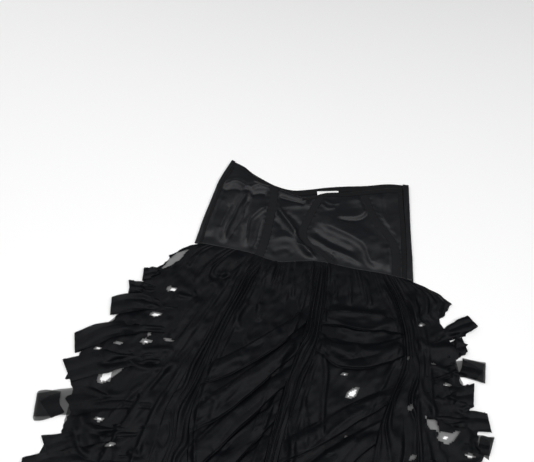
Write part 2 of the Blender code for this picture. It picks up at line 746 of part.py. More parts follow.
def make_strip(name, strip, side, chiffon):
    """Side strip that leaves the skirt, folds under at its tip and comes back along the ground."""
    sign = -1.0 if side == "left" else 1.0

    def place(t):
        x = lerp(strip.root_x, strip.tip_x, t)
        down = lerp(strip.root_down, strip.tip_down, t) + strip.sag * math.sin(math.pi * t)
        return x, down

    tip = place(1.0)
    inner = place(1.0 - HEADING_STEP)
    run = math.hypot(tip[0] - inner[0], tip[1] - inner[1])
    forward = ((tip[0] - inner[0]) / run, (tip[1] - inner[1]) / run)
    floor = STRIP_WALL / 2
    radius = (TAB_TOP - floor) / 2
    back = return_length(side, tip, forward, strip.width / 2)
    route = []
    for k in range(STRIP_STEPS + 1):
        t = k / STRIP_STEPS
        x, down = place(t)
        outside = ease((abs(x) - abs(outline_x(side, down))) / EDGE_RISE + 1.0)
        rest = skirt_base(x, down) + STRIP_GAP + STRIP_WALL / 2
        lift = strip.lift * math.sin(math.pi * min(t / LIFT_END, 1.0))
        route.append((x, down, lerp(rest, TAB_TOP, outside), lift * (1.0 - outside)))
    end = route[-1]
    for k in range(1, TURN_STEPS + 1):
        angle = math.pi * k / TURN_STEPS
        reach = radius * math.sin(angle)
        height = floor + radius + radius * math.cos(angle)
        route.append((end[0] + forward[0] * reach, end[1] + forward[1] * reach, height, 0.0))
    for k in range(1, RETURN_STEPS + 1):
        reach = -back * k / RETURN_STEPS
        route.append((end[0] + forward[0] * reach, end[1] + forward[1] * reach, floor, 0.0))
    points = []
    order = range(STRIP_CELLS, -1, -1) if side == "right" else range(STRIP_CELLS + 1)
    for i in order:
        across = i / STRIP_CELLS
        for k, (x, down, z, lift) in enumerate(route):
            spread = strip.width * (across - 0.5)
            if k <= STRIP_STEPS:
                t = k / STRIP_STEPS
                spread *= lerp(ROOT_WIDTH, 1.0, t)
                near = place(max(t - HEADING_STEP, 0.0))
                far = place(min(t + HEADING_STEP, 1.0))
                size = math.hypot(far[0] - near[0], far[1] - near[1])
                heading = ((far[0] - near[0]) / size, (far[1] - near[1]) / size)
            else:
                heading = forward
            px = x - sign * heading[1] * spread
            pdown = down + sign * heading[0] * spread
            points.append((px, -pdown, z + lift * across**STRIP_LIFT_POWER))
    width = len(route)
    return thick_sheet(name, points, STRIP_CELLS + 1, width, STRIP_WALL, chiffon)


def settle(items):
    """Move everything so that the origin is under the middle of the dress, on the ground."""
    corners = [v.co for item in items for v in item.data.vertices]
    middle_x = (min(c.x for c in corners) + max(c.x for c in corners)) / 2
    middle_y = (min(c.y for c in corners) + max(c.y for c in corners)) / 2
    for item in bpy.context.scene.objects:
        item.location = (-middle_x, -middle_y, 0.0)


def main():
    """Build the dress."""
    for item in list(bpy.data.objects):
        bpy.data.objects.remove(item)
    satin = new_material("black_satin", (0.012, 0.012, 0.014), 0.38, 0.2)
    channel = new_material("black_boning_tape", (0.008, 0.008, 0.010), 0.85, 0.0)
    binding = new_material("black_binding", (0.009, 0.009, 0.011), 0.90, 0.1)
    chiffon = new_material("black_chiffon", (0.007, 0.007, 0.008), 0.80, 0.1)
    label = new_material("white_label", (0.85, 0.85, 0.85), 0.70, 0.0)

    items = make_bodice_front(satin, channel, binding)
    items += make_bodice_back(satin, binding, label)
    items.append(make_skirt_front(chiffon))
    items.append(make_skirt_back(chiffon))
    for swag in MIDDLE_SWAGS:
        items.append(make_swag(swag, "a", "b", chiffon))
    for swag in RIGHT_SWAGS:
        items.append(make_swag(swag, "b", "c", chiffon))
    for k, strip in enumerate(LEFT_STRIPS, 1):
        items.append(make_strip(f"strip_left_{k:02d}", strip, "left", chiffon))
    for k, strip in enumerate(RIGHT_STRIPS, 1):
        items.append(make_strip(f"strip_right_{k:02d}", strip, "right", chiffon))
    settle(items)


main()
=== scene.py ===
"""Looks of a strapless dress laid flat: creased satin bodice, gathered chiffon skirt, draped swags
and folded side strips.

Tables are in millimetres and count from the middle of the waist seam: +Y to the neck, "down" to
the hem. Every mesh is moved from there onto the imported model.
"""
import math
from collections import namedtuple

import bpy
import numpy as np
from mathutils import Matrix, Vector


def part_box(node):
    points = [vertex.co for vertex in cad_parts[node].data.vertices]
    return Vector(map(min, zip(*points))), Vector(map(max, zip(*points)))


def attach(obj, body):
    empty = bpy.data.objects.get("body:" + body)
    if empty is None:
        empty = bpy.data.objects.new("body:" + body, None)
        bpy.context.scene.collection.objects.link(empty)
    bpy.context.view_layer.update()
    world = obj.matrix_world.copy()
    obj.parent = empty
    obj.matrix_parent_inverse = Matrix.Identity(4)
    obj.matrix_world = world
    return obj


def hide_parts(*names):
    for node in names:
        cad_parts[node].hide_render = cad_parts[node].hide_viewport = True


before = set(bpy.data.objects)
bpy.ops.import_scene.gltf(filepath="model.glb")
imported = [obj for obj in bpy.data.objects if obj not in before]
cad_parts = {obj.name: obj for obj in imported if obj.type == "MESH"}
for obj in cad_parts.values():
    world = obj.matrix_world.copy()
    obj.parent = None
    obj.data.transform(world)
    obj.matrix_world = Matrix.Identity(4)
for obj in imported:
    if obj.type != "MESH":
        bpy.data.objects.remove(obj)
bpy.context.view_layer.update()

MM = 0.001

# Sizes of the model
SKIRT_LENGTH = 575.0
HEM_LEFT = -402.0
BODICE_LENGTH = 165.0
CHANNEL_WIDTH = 17.0
BINDING_WIDTH = 9.5
BINDING_START = -24.0
BACK_BINDING_WIDTH = 13.0
BACK_BINDING_ENDS = (-176.0, 178.0)
BACK_WALL = 1.4
SEAM_GAP = 0.4

# Heights of the cloth above the ground, and of the three lanes of a folded tab
BODICE_BASE = 5.75
SKIRT_BASE = 3.4
SIDE_BASE = 3.0
SKIRT_LOWEST = 1.9
BACK_LEVEL = 0.7
TAB_TOP = 6.0
TAB_MIDDLE = 2.9
TAB_FLOOR = 0.5
STRIP_LOWEST = 1.3
TAB_LOWEST = 0.3

# Swags and strips over the skirt, turned sides under the front, strip roots in the skirt
STRIP_GAP = 1.3
TURNED_DEPTH = 0.65
ROOT_DEPTH = 4.6

# Thickness of the closed shells, and how far the trims stand above the satin and crown
SATIN_SHELL = 0.5
BACK_SHELL = 0.9
TRIM_SHELL = 0.4
LABEL_SHELL = 0.3
TRIM_LIFT = 0.5
TAPE_CROWN = 0.55
BINDING_CROWN = 1.5
BACK_BINDING_CROWN = 1.3

LABEL_HALF_WIDTH = 21.5
LABEL_HALF_HEIGHT = 9.0
LABEL_MIDDLE = (25.0, 154.0)
LABEL_LEVEL = 3.6
LABEL_TILT = 12.0

# Limits that soft folds come near where they add up
RELIEF_LIMIT = 10.5
RELIEF_BEND = 7.5
SWAG_LIMIT = 13.0

# Depths below the waist where its gathers end, and where rows no longer follow the seam
GATHER_DEPTH = 96.0
SEAM_DEPTH = 90.0

SWAG_FOLD = 4.6
SWAG_TUCK = 2.0
FLUTTER_WIDTH = 26.0
NOISE_CELLS = 64

back_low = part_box("skirt_back")[0]
SHIFT = np.array([back_low[0] / MM - HEM_LEFT, back_low[1] / MM + SKIRT_LENGTH, 0.0])

# The camera stands at the foot of the dress
CAMERA_LENS = 50.0
CAMERA_ELEVATION = 62.0
CAMERA_AZIMUTH = 10.5
CAMERA_DISTANCE = 1.459
CAMERA_TARGET = (-81.2, 52.9)

Seam = namedtuple("Seam", "x y")
WAIST_SEAM = [
    Seam(-215, 0), Seam(-172, 0), Seam(-104, -3), Seam(-50, -12), Seam(-15, -5),
    Seam(30, 3), Seam(97, 0), Seam(151, 0), Seam(213, -5),
]

Top = namedtuple("Top", "x front back")
TOP_EDGE = [
    Top(-184, 199, 201), Top(-155, 186, 191), Top(-134, 169, 178), Top(-112, 156, 168),
    Top(-82, 151, 157), Top(-48, 142, 153), Top(-17, 139, 160), Top(20, 156, 172),
    Top(59, 165, 182), Top(96, 176, 190), Top(143, 190, 203), Top(184, 196, 206),
]

# Bodice guide lines, from the waist seam (0) to the top edge (1)
Guide = namedtuple("Guide", "rise outline_left left channel_a channel_b channel_c right "
                   "outline_right")
BODICE_GUIDES = [
    Guide(0.00, -215, -205, -86, 57, 178, 198, 212),
    Guide(0.12, -213, -203.5, -83, 36, 176, 195.5, 208.5),
    Guide(0.25, -211, -202, -81, -2, 173, 193, 205),
    Guide(0.40, -207.5, -199, -80, -12, 164, 189, 200),
    Guide(0.50, -205, -197, -80, -9, 149, 186, 197),
    Guide(0.60, -202.5, -194.5, -80, -5, 132, 183, 194),
    Guide(0.75, -198, -190, -80, 1, 113, 178, 190),
    Guide(1.00, -183, -174, -84, 13, 91, 170, 183),
]

# Creases of the satin: height, half width on each side of the line, and points on it
Crease = namedtuple("Crease", "height near far points")
SATIN_CREASES = [
    Crease(5.5, 8, 5, [(-191, 130), (-168, 149), (-149, 146), (-135, 134)]),
    Crease(-2.5, 5, 5, [(-186, 124), (-162, 133), (-145, 129)]),
    Crease(5.5, 10, 5, [(-137, 132), (-120, 149), (-97, 152), (-84, 151)]),
    Crease(-3.5, 5, 6, [(-128, 124), (-110, 132), (-96, 133)]),
    Crease(7.5, 5.5, 11, [(-133, 138), (-141, 114), (-148, 93), (-153, 65), (-160, 34),
                          (-158, 3)]),
    Crease(-3.0, 6, 4, [(-127, 121), (-134, 100), (-133, 73), (-143, 44), (-151, 16)]),
    Crease(-2.5, 5, 6, [(-162, 100), (-170, 66), (-173, 38)]),
    Crease(2.5, 7, 7, [(-180, 114), (-187, 70), (-189, 16)]),
    Crease(6.0, 5, 8, [(-88, 110), (-107, 87), (-119, 66), (-118, 38), (-115, 3)]),
    Crease(-2.5, 4, 5, [(-94, 82), (-98, 52), (-98, 26), (-105, 0)]),
    Crease(5.5, 8, 3.5, [(-76, 148), (-44, 143), (-13, 131)]),
    Crease(-3.5, 3.5, 5, [(-74, 132), (-45, 128), (-13, 122)]),
    Crease(3.0, 7, 7, [(-74, 104), (-39, 115), (0, 126)]),
    Crease(9.5, 4.5, 6.5, [(-78, 112), (-55, 88), (-38, 71), (-18, 47), (2, 23), (32, -2)]),
    Crease(-2.5, 6, 6, [(-52, 99), (-27, 81), (-7, 62)]),
    Crease(3.6, 9, 8, [(-78, 26), (-47, 43), (-26, 40), (-7, 25), (18, 2)]),
    Crease(-1.4, 7, 7, [(-66, 4), (-39, 17), (-20, 8)]),
    Crease(-2.0, 6, 6, [(-73, 76), (-58, 68), (-49, 54)]),
    Crease(8.0, 22, 7, [(6, 91), (53, 77), (95, 62), (113, 49), (125, 24), (144, -2)]),
    Crease(-3.5, 6, 8, [(5, 72), (30, 57), (64, 45), (98, 33)]),
    Crease(4.0, 7, 6, [(-6, 56), (26, 42), (50, 32), (83, 23), (124, 3)]),
    Crease(-2.0, 4, 4, [(52, 27), (59, 14), (64, 0)]),
    Crease(2.0, 12, 12, [(20, 103), (57, 96), (95, 88), (123, 71), (144, 46)]),
    Crease(3.2, 10, 6, [(34, 106), (75, 110), (98, 120), (104, 138), (90, 152), (61, 144)]),
    Crease(-2.5, 5, 5, [(46, 99), (76, 102), (98, 110), (113, 129)]),
    Crease(2.0, 4, 4, [(13, 132), (30, 122), (45, 128)]),
    Crease(1.8, 4, 4, [(18, 141), (36, 134), (52, 139)]),
    Crease(3.0, 6, 9, [(129, 178), (142, 124), (164, 80)]),
    Crease(2.8, 8, 9, [(150, 64), (162, 30), (160, 2)]),
    Crease(2.4, 9, 9, [(-200, 118), (-202, 64), (-198, 12)]),
]

# Side edges of the skirt, with the gathered puff at the right of the waist
Edge = namedtuple("Edge", "down left right")
SKIRT_EDGES = [
    Edge(0, -206, 208), Edge(10, -224, 238), Edge(25, -241, 268), Edge(42, -255, 281),
    Edge(60, -266, 272), Edge(76, -275, 259), Edge(96, -286, 272), Edge(121, -301, 292),
    Edge(150, -316, 302), Edge(182, -328, 313), Edge(213, -348, 321), Edge(251, -361, 339),
    Edge(300, -360, 347), Edge(340, -357, 350), Edge(416, -358, 356), Edge(490, -380, 372),
    Edge(575, -402, 390),
]

# Gathered bundles of the skirt: middle and width of each
Bundles = namedtuple("Bundles", "down a a_width b b_width c c_width")
BUNDLES = [
    Bundles(0, -86, 24, 34, 20, 160, 26),
    Bundles(70, -105, 33, 39, 29, 200, 24),
    Bundles(160, -131, 34, 37, 34, 222, 29),
    Bundles(250, -153, 37, 20, 31, 212, 56),
    Bundles(330, -167, 50, 9, 27, 213, 82),
    Bundles(410, -163, 68, 5, 28, 213, 82),
    Bundles(490, -166, 75, 2, 34, 215, 82),
    Bundles(575, -172, 80, 0, 44, 218, 86),
]

# Zones across the skirt: folds in each, their height, and how many columns of mesh they take
Zone = namedtuple("Zone", "name folds height columns")
SKIRT_ZONES = [
    Zone("left", 7, 4.6, 84),
    Zone("a", 4, 7.0, 60),
    Zone("left_middle", 8, 4.4, 76),
    Zone("b", 4, 6.6, 52),
    Zone("right_middle", 8, 4.6, 76),
    Zone("c", 4, 7.0, 70),
    Zone("right", 5, 4.8, 50),
]
SKIRT_ROWS = 212
BUNDLE_ZONES = ("a", "b", "c")

# Long soft folds of the skirt between the bundles: height, half widths, and points on them
SKIRT_CREASES = [
    Crease(5.0, 8, 9, [(-335, -360), (-312, -385), (-272, -397)]),
    Crease(5.5, 8, 9, [(-272, -397), (-251, -374), (-237, -337), (-221, -292)]),
    Crease(-3.5, 12, 12, [(-300, -350), (-276, -366), (-256, -336)]),
    Crease(4.5, 6, 6, [(-240, -407), (-212, -411), (-209, -386)]),
    Crease(4.5, 6, 5, [(-284, -249), (-254, -262), (-210, -256), (-189, -237)]),
    Crease(4.0, 5, 4, [(-226, -114), (-198, -113), (-185, -101)]),
    Crease(4.0, 6, 6, [(-218, -52), (-202, -28), (-183, -15)]),
    Crease(4.0, 6, 6, [(-267, -235), (-229, -223), (-198, -223)]),
    Crease(4.0, 7, 7, [(-307, -325), (-266, -313), (-236, -292)]),
    Crease(4.5, 7, 9, [(-266, -400), (-262, -430), (-270, -500)]),
    Crease(3.5, 5, 5, [(-330, -398), (-316, -419), (-296, -429)]),
    Crease(-3.5, 4, 4, [(-174, -62), (-147, -65), (-131, -56)]),
    Crease(-3.0, 4, 4, [(-220, -102), (-191, -109), (-182, -99)]),
    Crease(3.5, 6, 6, [(-135, -12), (-143, -51), (-162, -90)]),
    Crease(3.5, 6, 6, [(-165, -10), (-176, -48), (-200, -84)]),
    Crease(4.0, 7, 7, [(-158, -149), (-217, -223), (-258, -246)]),
    Crease(3.5, 7, 7, [(-178, -110), (-200, -160), (-216, -206)]),
    Crease(3.5, 7, 7, [(-196, -290), (-208, -350), (-206, -420)]),
    Crease(3.5, 8, 8, [(-208, -440), (-222, -500), (-220, -560)]),
    Crease(3.0, 4, 4, [(-17, -18), (-12, -50), (-7, -84)]),
    Crease(3.0, 4, 4, [(9, -14), (10, -55), (6, -96)]),
    Crease(3.0, 4, 4, [(66, -16), (70, -46), (72, -80)]),
    Crease(3.0, 4, 4, [(92, -14), (96, -44), (100, -78)]),
    Crease(3.0, 4, 4, [(122, -14), (130, -42), (139, -74)]),
    Crease(3.5, 6, 6, [(-91, -164), (-102, -133), (-84, -100)]),
    Crease(3.0, 6, 6, [(-66, -100), (-62, -118), (-64, -138)]),
    Crease(7.0, 10, 22, [(16, -146), (-21, -209), (-73, -256), (-128, -304)]),
    Crease(-5.0, 6, 7, [(6, -322), (-36, -349), (-66, -372), (-100, -380)]),
    Crease(4.0, 6, 6, [(14, -164), (-6, -187), (-13, -220), (-28, -243)]),
    Crease(5.0, 7, 7, [(-132, -288), (-106, -298), (-109, -336)]),
    Crease(4.5, 12, 12, [(-82, -184), (-50, -168), (-20, -143)]),
    Crease(6.5, 7, 9, [(56, -94), (100, -89), (137, -88), (176, -81)]),
    Crease(-6.0, 7, 7, [(56, -114), (72, -146), (100, -182)]),
    Crease(4.5, 7, 7, [(78, -118), (129, -124), (186, -98)]),
    Crease(5.0, 4, 6, [(62, -158), (76, -216), (78, -264), (88, -348)]),
    Crease(4.5, 6, 6, [(84, -330), (117, -292), (156, -260)]),
    Crease(4.0, 6, 6, [(90, -356), (117, -338), (144, -314)]),
    Crease(3.5, 5, 5, [(19, -284), (30, -331), (48, -378)]),
    Crease(3.5, 5, 5, [(41, -256), (54, -304), (60, -354)]),
    Crease(4.5, 6, 8, [(226, -120), (253, -132), (296, -118)]),
    Crease(4.0, 6, 6, [(236, -154), (243, -208), (278, -254)]),
    Crease(4.0, 6, 6, [(277, -180), (299, -216), (320, -228)]),
    Crease(3.0, 5, 5, [(220, -14), (216, -54), (224, -88)]),
    Crease(3.5, 5, 5, [(226, -6), (239, -45), (244, -80)]),
    Crease(3.5, 5, 5, [(245, -6), (261, -35), (258, -72)]),
    Crease(4.5, 5, 5, [(238, -218), (243, -266), (251, -324), (258, -420)]),
    Crease(4.0, 7, 7, [(302, -234), (328, -276), (326, -318)]),
    Crease(3.5, 6, 6, [(252, -162), (282, -168), (308, -180)]),
    Crease(4.0, 7, 7, [(262, -330), (290, -386), (300, -460)]),
    Crease(3.5, 7, 7, [(266, -440), (276, -500), (280, -560)]),
]

# Strands beside the bundles: bundle, places across it at both ends, depths of the ends, height
Strand = namedtuple("Strand", "bundle start end first last height width")
STRANDS = [
    Strand("a", -0.2, -1.1, 20, 330, 3.6, 4.0),
    Strand("a", -0.5, -1.8, 50, 420, 3.2, 5.0),
    Strand("a", -0.8, -1.2, 60, 560, 3.0, 4.5),
    Strand("a", -0.2, -0.5, 180, 560, 3.4, 3.5),
    Strand("a", 1.1, 1.3, 30, 260, 3.0, 3.5),
    Strand("a", 1.2, 1.1, 200, 560, 2.8, 3.5),
    Strand("a", 1.3, 2.1, 20, 130, 2.6, 4.0),
    Strand("b", -0.3, -0.6, 30, 250, 3.2, 3.5),
    Strand("b", -0.5, -1.0, 80, 360, 2.8, 4.0),
    Strand("b", -0.2, -0.9, 240, 560, 3.0, 3.5),
    Strand("b", 1.2, 1.2, 40, 240, 2.8, 3.5),
    Strand("b", 1.2, 1.9, 200, 420, 3.2, 3.5),
    Strand("b", 1.4, 2.2, 300, 560, 2.6, 4.0),
    Strand("c", -0.3, -0.1, 20, 190, 3.2, 4.0),
    Strand("c", -0.6, -0.3, 60, 300, 2.8, 5.0),
    Strand("c", 1.3, 1.2, 20, 200, 3.2, 4.0),
    Strand("c", 1.7, 1.4, 50, 330, 3.0, 4.5),
    Strand("c", 1.1, 1.5, 260, 560, 3.0, 4.5),
    Strand("c", 1.5, 1.7, 300, 520, 2.4, 4.0),
]

# Swags: depth of both ends, sag, height and lift of the cloth, and folds in it
Swag = namedtuple("Swag", "left_down right_down sag height lift folds")
MIDDLE_SWAGS = [
    Swag(254, 108, 12, 56, 8.0, 1.2),
    Swag(336, 162, 18, 66, 9.5, 1.5),
    Swag(404, 226, 12, 64, 9.0, 1.3),
    Swag(462, 292, 14, 64, 9.5, 1.6),
    Swag(508, 362, 10, 62, 9.0, 1.3),
    Swag(549, 426, 6, 52, 8.0, 1.2),
]
RIGHT_SWAGS = [
    Swag(109, 102, -2, 36, 9.0, 1.0),
    Swag(156, 136, 26, 52, 9.0, 1.4),
    Swag(364, 230, 4, 54, 9.5, 1.2),
    Swag(434, 300, 6, 64, 9.0, 1.6),
    Swag(497, 368, 8, 62, 9.5, 1.3),
    Swag(549, 436, 4, 56, 8.5, 1.4),
]

# Side strips, each with the steps of its lanes: out over the skirt, round its tip, back under
# it, round again and out on the ground. Skew slants the folded end, and fan turns the last lane.
SHEER_STRIPS = ("strip_left_06", "strip_right_03", "strip_right_06")
OUT_STEPS = 60
TURN_STEPS = 10
BACK_STEPS = 12
GROUND_STEPS = 18
Strip = namedtuple("Strip", "root_x root_down tip_x tip_down sag width lift skew fan reach")
LEFT_STRIPS = [
    Strip(-250, 69, -294, 83, 0, 22, 1.5, 5, 24, 2),
    Strip(-256, 106, -313, 113, 0, 23, 2.5, -6, -22, 3),
    Strip(-215, 140, -336, 158, -10, 30, 4.0, 7, 26, -2),
    Strip(-220, 180, -381, 238, -14, 34, 5.0, 9, 24, -6),
    Strip(-222, 238, -379, 291, -8, 38, 4.5, -8, 20, -4),
    Strip(-212, 318, -414, 361, -6, 42, 5.5, 6, -20, -14),
    Strip(-214, 368, -376, 424, -6, 30, 5.0, -7, 18, 4),
    Strip(-216, 420, -403, 468, -6, 34, 5.0, 6, -20, -8),
    Strip(-220, 464, -410, 514, -6, 36, 5.0, -6, 18, -6),
    Strip(-226, 514, -422, 557, -4, 30, 5.0, 5, -14, -8),
]
RIGHT_STRIPS = [
    Strip(258, 118, 325, 66, 0, 26, 3.0, 5, 24, -16),
    Strip(280, 140, 313, 114, 0, 28, 2.5, -6, -20, 2),
    Strip(252, 196, 352, 160, -15, 31, 4.5, 5, 9, -6),
    Strip(256, 222, 334, 203, 0, 34, 4.0, -9, 24, 0),
    Strip(258, 252, 363, 249, 0, 28, 3.5, 8, -24, -4),
    Strip(320, 288, 369, 288, 0, 28, 3.0, -7, 20, 0),
    Strip(266, 336, 368, 336, 6, 34, 5.0, 7, -18, 2),
    Strip(268, 376, 387, 382, 6, 36, 5.0, -6, 20, -10),
    Strip(268, 420, 378, 428, 6, 36, 5.0, 6, -20, 0),
    Strip(270, 464, 401, 472, 6, 36, 5.0, -6, 18, -10),
    Strip(272, 508, 410, 515, 4, 34, 5.0, 5, -18, -8),
    Strip(274, 548, 414, 554, 0, 32, 4.5, -5, 0, -8),
]

# See-through places: lens with its turn, and the share that is open through the back too.
# Where nothing is open through the back, the front alone is worn thin.
HOLE_GROWTH = 1.1
HOLE_RAGGED = 0.22
Hole = namedtuple("Hole", "x down length width turn clear", defaults=(0.0,))
HOLES = [
    Hole(-309, 288, 34, 22, 50, 0.50),
    Hole(126, 238, 30, 14, 45, 0.42),
    Hole(292, 286, 34, 20, 18, 0.06),
    Hole(-232, 103, 16, 8, 10, 0.60),
    Hole(-252, 158, 22, 9, 10, 0.45),
    Hole(-256, 212, 24, 10, 14, 0.20),
    Hole(-338, 240, 14, 6, 18, 0.30),
    Hole(-300, 363, 20, 8, 14, 0.20),
    Hole(-268, 403, 18, 7, 16, 0.10),
    Hole(-292, 457, 16, 5, 14, 0.60),
    Hole(-296, 507, 16, 5, 14, 0.60),
    Hole(234, 90, 14, 7, 30, 0.55),
    Hole(288, 194, 16, 6, 8, 0.20),
    Hole(334, 310, 18, 7, 0, 0.40),
    Hole(310, 359, 20, 7, 0, 0.45),
    Hole(330, 408, 18, 5, 0, 0.50),
    Hole(312, 451, 18, 5, 0, 0.50),
    Hole(108, 208, 14, 7, 20, 0.10),
]
THIN_PLACES = [
    Hole(-243, 40, 58, 13, 49),
    Hole(-299, 277, 44, 16, 42),
    Hole(-282, 186, 15, 6, 8),
    Hole(-254, 196, 12, 5, 75),
    Hole(-216, 203, 22, 6, -8),
    Hole(-304, 224, 16, 6, 12),
    Hole(-240, 104, 12, 9, 80),
    Hole(216, 158, 9, 4, 70),
    Hole(262, 160, 8, 4, 0),
    Hole(273, 216, 8, 5, 60),
    Hole(227, 247, 12, 8, 70),
    Hole(268, 268, 34, 15, -42),
    Hole(308, 278, 16, 8, 40),
    Hole(-346, 400, 12, 5, 65),
    Hole(239, 331, 14, 7, 40),
    Hole(126, 316, 8, 5, 40),
]


# Small tools

def ease(t):
    """Smooth step from 0 to 1."""
    t = np.clip(t, 0.0, 1.0)
    return t * t * (3.0 - 2.0 * t)


def lerp(a, b, t):
    """Blend two values."""
    return a + (b - a) * t


def span(count):
    """Even steps from 0 to 1."""
    return np.linspace(0.0, 1.0, count)


def read(table, key, column, values):
    """Read a column of a table at values of its key column, along a smooth curve."""
    keys = np.array([getattr(row, key) for row in table], dtype=float)
    heights = np.array([getattr(row, column) for row in table], dtype=float)
    values = np.clip(np.asarray(values, dtype=float), keys[0], keys[-1])
    i = np.clip(np.searchsorted(keys, values, side="left") - 1, 0, len(keys) - 2)
    before = np.maximum(i - 1, 0)
    after = np.minimum(i + 2, len(keys) - 1)
    gap = keys[i + 1] - keys[i]
    t = (values - keys[i]) / gap
    slope_in = (heights[i + 1] - heights[before]) / (keys[i + 1] - keys[before]) * gap
    slope_out = (heights[after] - heights[i]) / (keys[after] - keys[i]) * gap
    start = heights[i] * (2 * t**3 - 3 * t**2 + 1) + slope_in * (t**3 - 2 * t**2 + t)
    return start + heights[i + 1] * (3 * t**2 - 2 * t**3) + slope_out * (t**3 - t**2)


def soft_noise(x, y, size, seed):
    """Smooth random values from 0 to 1, with cells of this size."""
    n = NOISE_CELLS
    cells = np.random.default_rng(seed).random((n, n))
    u = np.asarray(x, dtype=float) / size + n / 2
    v = np.asarray(y, dtype=float) / size + n / 2
    i = np.floor(u).astype(int)
    j = np.floor(v).astype(int)
    fu = ease(u - i)
    fv = ease(v - j)
    low = lerp(cells[i % n, j % n], cells[(i + 1) % n, j % n], fu)
    high = lerp(cells[i % n, (j + 1) % n], cells[(i + 1) % n, (j + 1) % n], fu)
    return lerp(low, high, fv)


def uneven(amount, x, y, size, seed):
    """Smooth random values around 0, in all this amount apart."""
    return amount * (soft_noise(x, y, size, seed) - 0.5)


def smooth_line(points, steps=14):
    """Points along a smooth curve through the given ones."""
    points = [np.array(p, dtype=float) for p in points]
    ends = [2 * points[0] - points[1]] + points + [2 * points[-1] - points[-2]]
    line = []
    for a, b, c, d in zip(ends, ends[1:], ends[2:], ends[3:]):
        for k in range(steps):
            t = k / steps
            line.append(0.5 * (2 * b + (c - a) * t + (2 * a - 5 * b + 4 * c - d) * t**2
                               + (3 * b - a - 3 * c + d) * t**3))
    line.append(points[-1])
    return np.array(line)


def crease_height(crease, x, y):
    """Height that one crease adds at the points."""
    line = smooth_line(crease.points)
    best = np.full(x.shape, np.inf)
    side = np.zeros(x.shape)
    place = np.zeros(x.shape)
    for k in range(len(line) - 1):
        step = line[k + 1] - line[k]
        rx = x - line[k, 0]
        ry = y - line[k, 1]
        t = np.clip((rx * step[0] + ry * step[1]) / (step @ step), 0.0, 1.0)
        distance = np.hypot(rx - t * step[0], ry - t * step[1])
        closer = distance < best
        best = np.where(closer, distance, best)
        side = np.where(closer, step[0] * ry - step[1] * rx, side)
        place = np.where(closer, (k + t) / (len(line) - 1), place)
    width = np.where(side > 0, crease.near, crease.far)
    fade = ease(place / 0.16) * ease((1.0 - place) / 0.16)
    return crease.height * fade * np.exp(-(best / width)**1.8)


def creases_height(creases, x, y):
    """Height of several creases together."""
    return sum(crease_height(crease, x, y) for crease in creases)


def closed_cells(x, y, back=False):
    """True for each cell of the grid that lies outside the see-through places."""
    x = (x[:-1, :-1] + x[1:, 1:]) / 2
    y = (y[:-1, :-1] + y[1:, 1:]) / 2
    inside = np.zeros(x.shape, dtype=bool)
    for number, hole in enumerate(HOLES if back else HOLES + THIN_PLACES):
        turn = math.radians(hole.turn)
        size = math.sqrt(hole.clear) if back else HOLE_GROWTH
        dx = x - hole.x
        dy = y + hole.down
        along = (dx * math.cos(turn) + dy * math.sin(turn)) / size
        across = (-dx * math.sin(turn) + dy * math.cos(turn)) / size
        ragged = uneven(HOLE_RAGGED * hole.width, x, y, 9.0, 300 + number)
        reach = np.abs(along) / (hole.length / 2)
        lens = hole.width / 2 * np.cos(np.clip(reach, 0.0, 1.0) * math.pi / 2)
        inside |= (reach < 1.0) & (np.abs(across) + ragged < lens)
    return ~inside


def add_grid(name, x, y, z, material, keep=None, closed=0.0):
    """Mesh of a grid of points in millimetres; keep marks the cells that stay."""
    rows, width = x.shape
    points = (np.stack([x, y, z], axis=-1).reshape(-1, 3) + SHIFT) * MM
    corner = np.arange(rows * width).reshape(rows, width)
    quads = np.stack([corner[:-1, :-1], corner[:-1, 1:], corner[1:, 1:], corner[1:, :-1]],
                     axis=-1)
    quads = quads.reshape(-1, 4) if keep is None else quads[keep]
    used = np.unique(quads)
    index = np.zeros(rows * width, dtype=int)
    index[used] = np.arange(len(used))
    mesh = bpy.data.meshes.new(name)
    mesh.from_pydata(points[used].tolist(), [], index[quads].tolist())
    mesh.materials.append(material)
    mesh.shade_smooth()
    piece = bpy.data.objects.new(name, mesh)
    bpy.context.scene.collection.objects.link(piece)
    if closed:
        shell = piece.modifiers.new("thickness", "SOLIDIFY")
        shell.thickness = closed * MM
        shell.offset = 0.0
    return piece


def finish_piece(piece, node):
    """Let a piece ride on the body and stand for its node, whose part it hides."""
    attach(piece, "root")
    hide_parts(node)


# Materials

# Range of each cloth's tone
DARKER = 0.8
LIGHTER = 1.25


def add_noise(tree, place, scale, detail, distortion=0.0):
    """Noise texture over the piece."""
    noise = tree.nodes.new("ShaderNodeTexNoise")
    noise.inputs["Scale"].default_value = scale
    noise.inputs["Detail"].default_value = detail
    noise.inputs["Distortion"].default_value = distortion
    tree.links.new(place.outputs["Object"], noise.inputs["Vector"])
    return noise.outputs["Fac"]


def add_bump(tree, height, strength, depth):
    """Bump from a height, this many millimetres deep."""
    bump = tree.nodes.new("ShaderNodeBump")
    bump.inputs["Strength"].default_value = strength
    bump.inputs["Distance"].default_value = depth * MM
    tree.links.new(height, bump.inputs["Height"])
    return bump


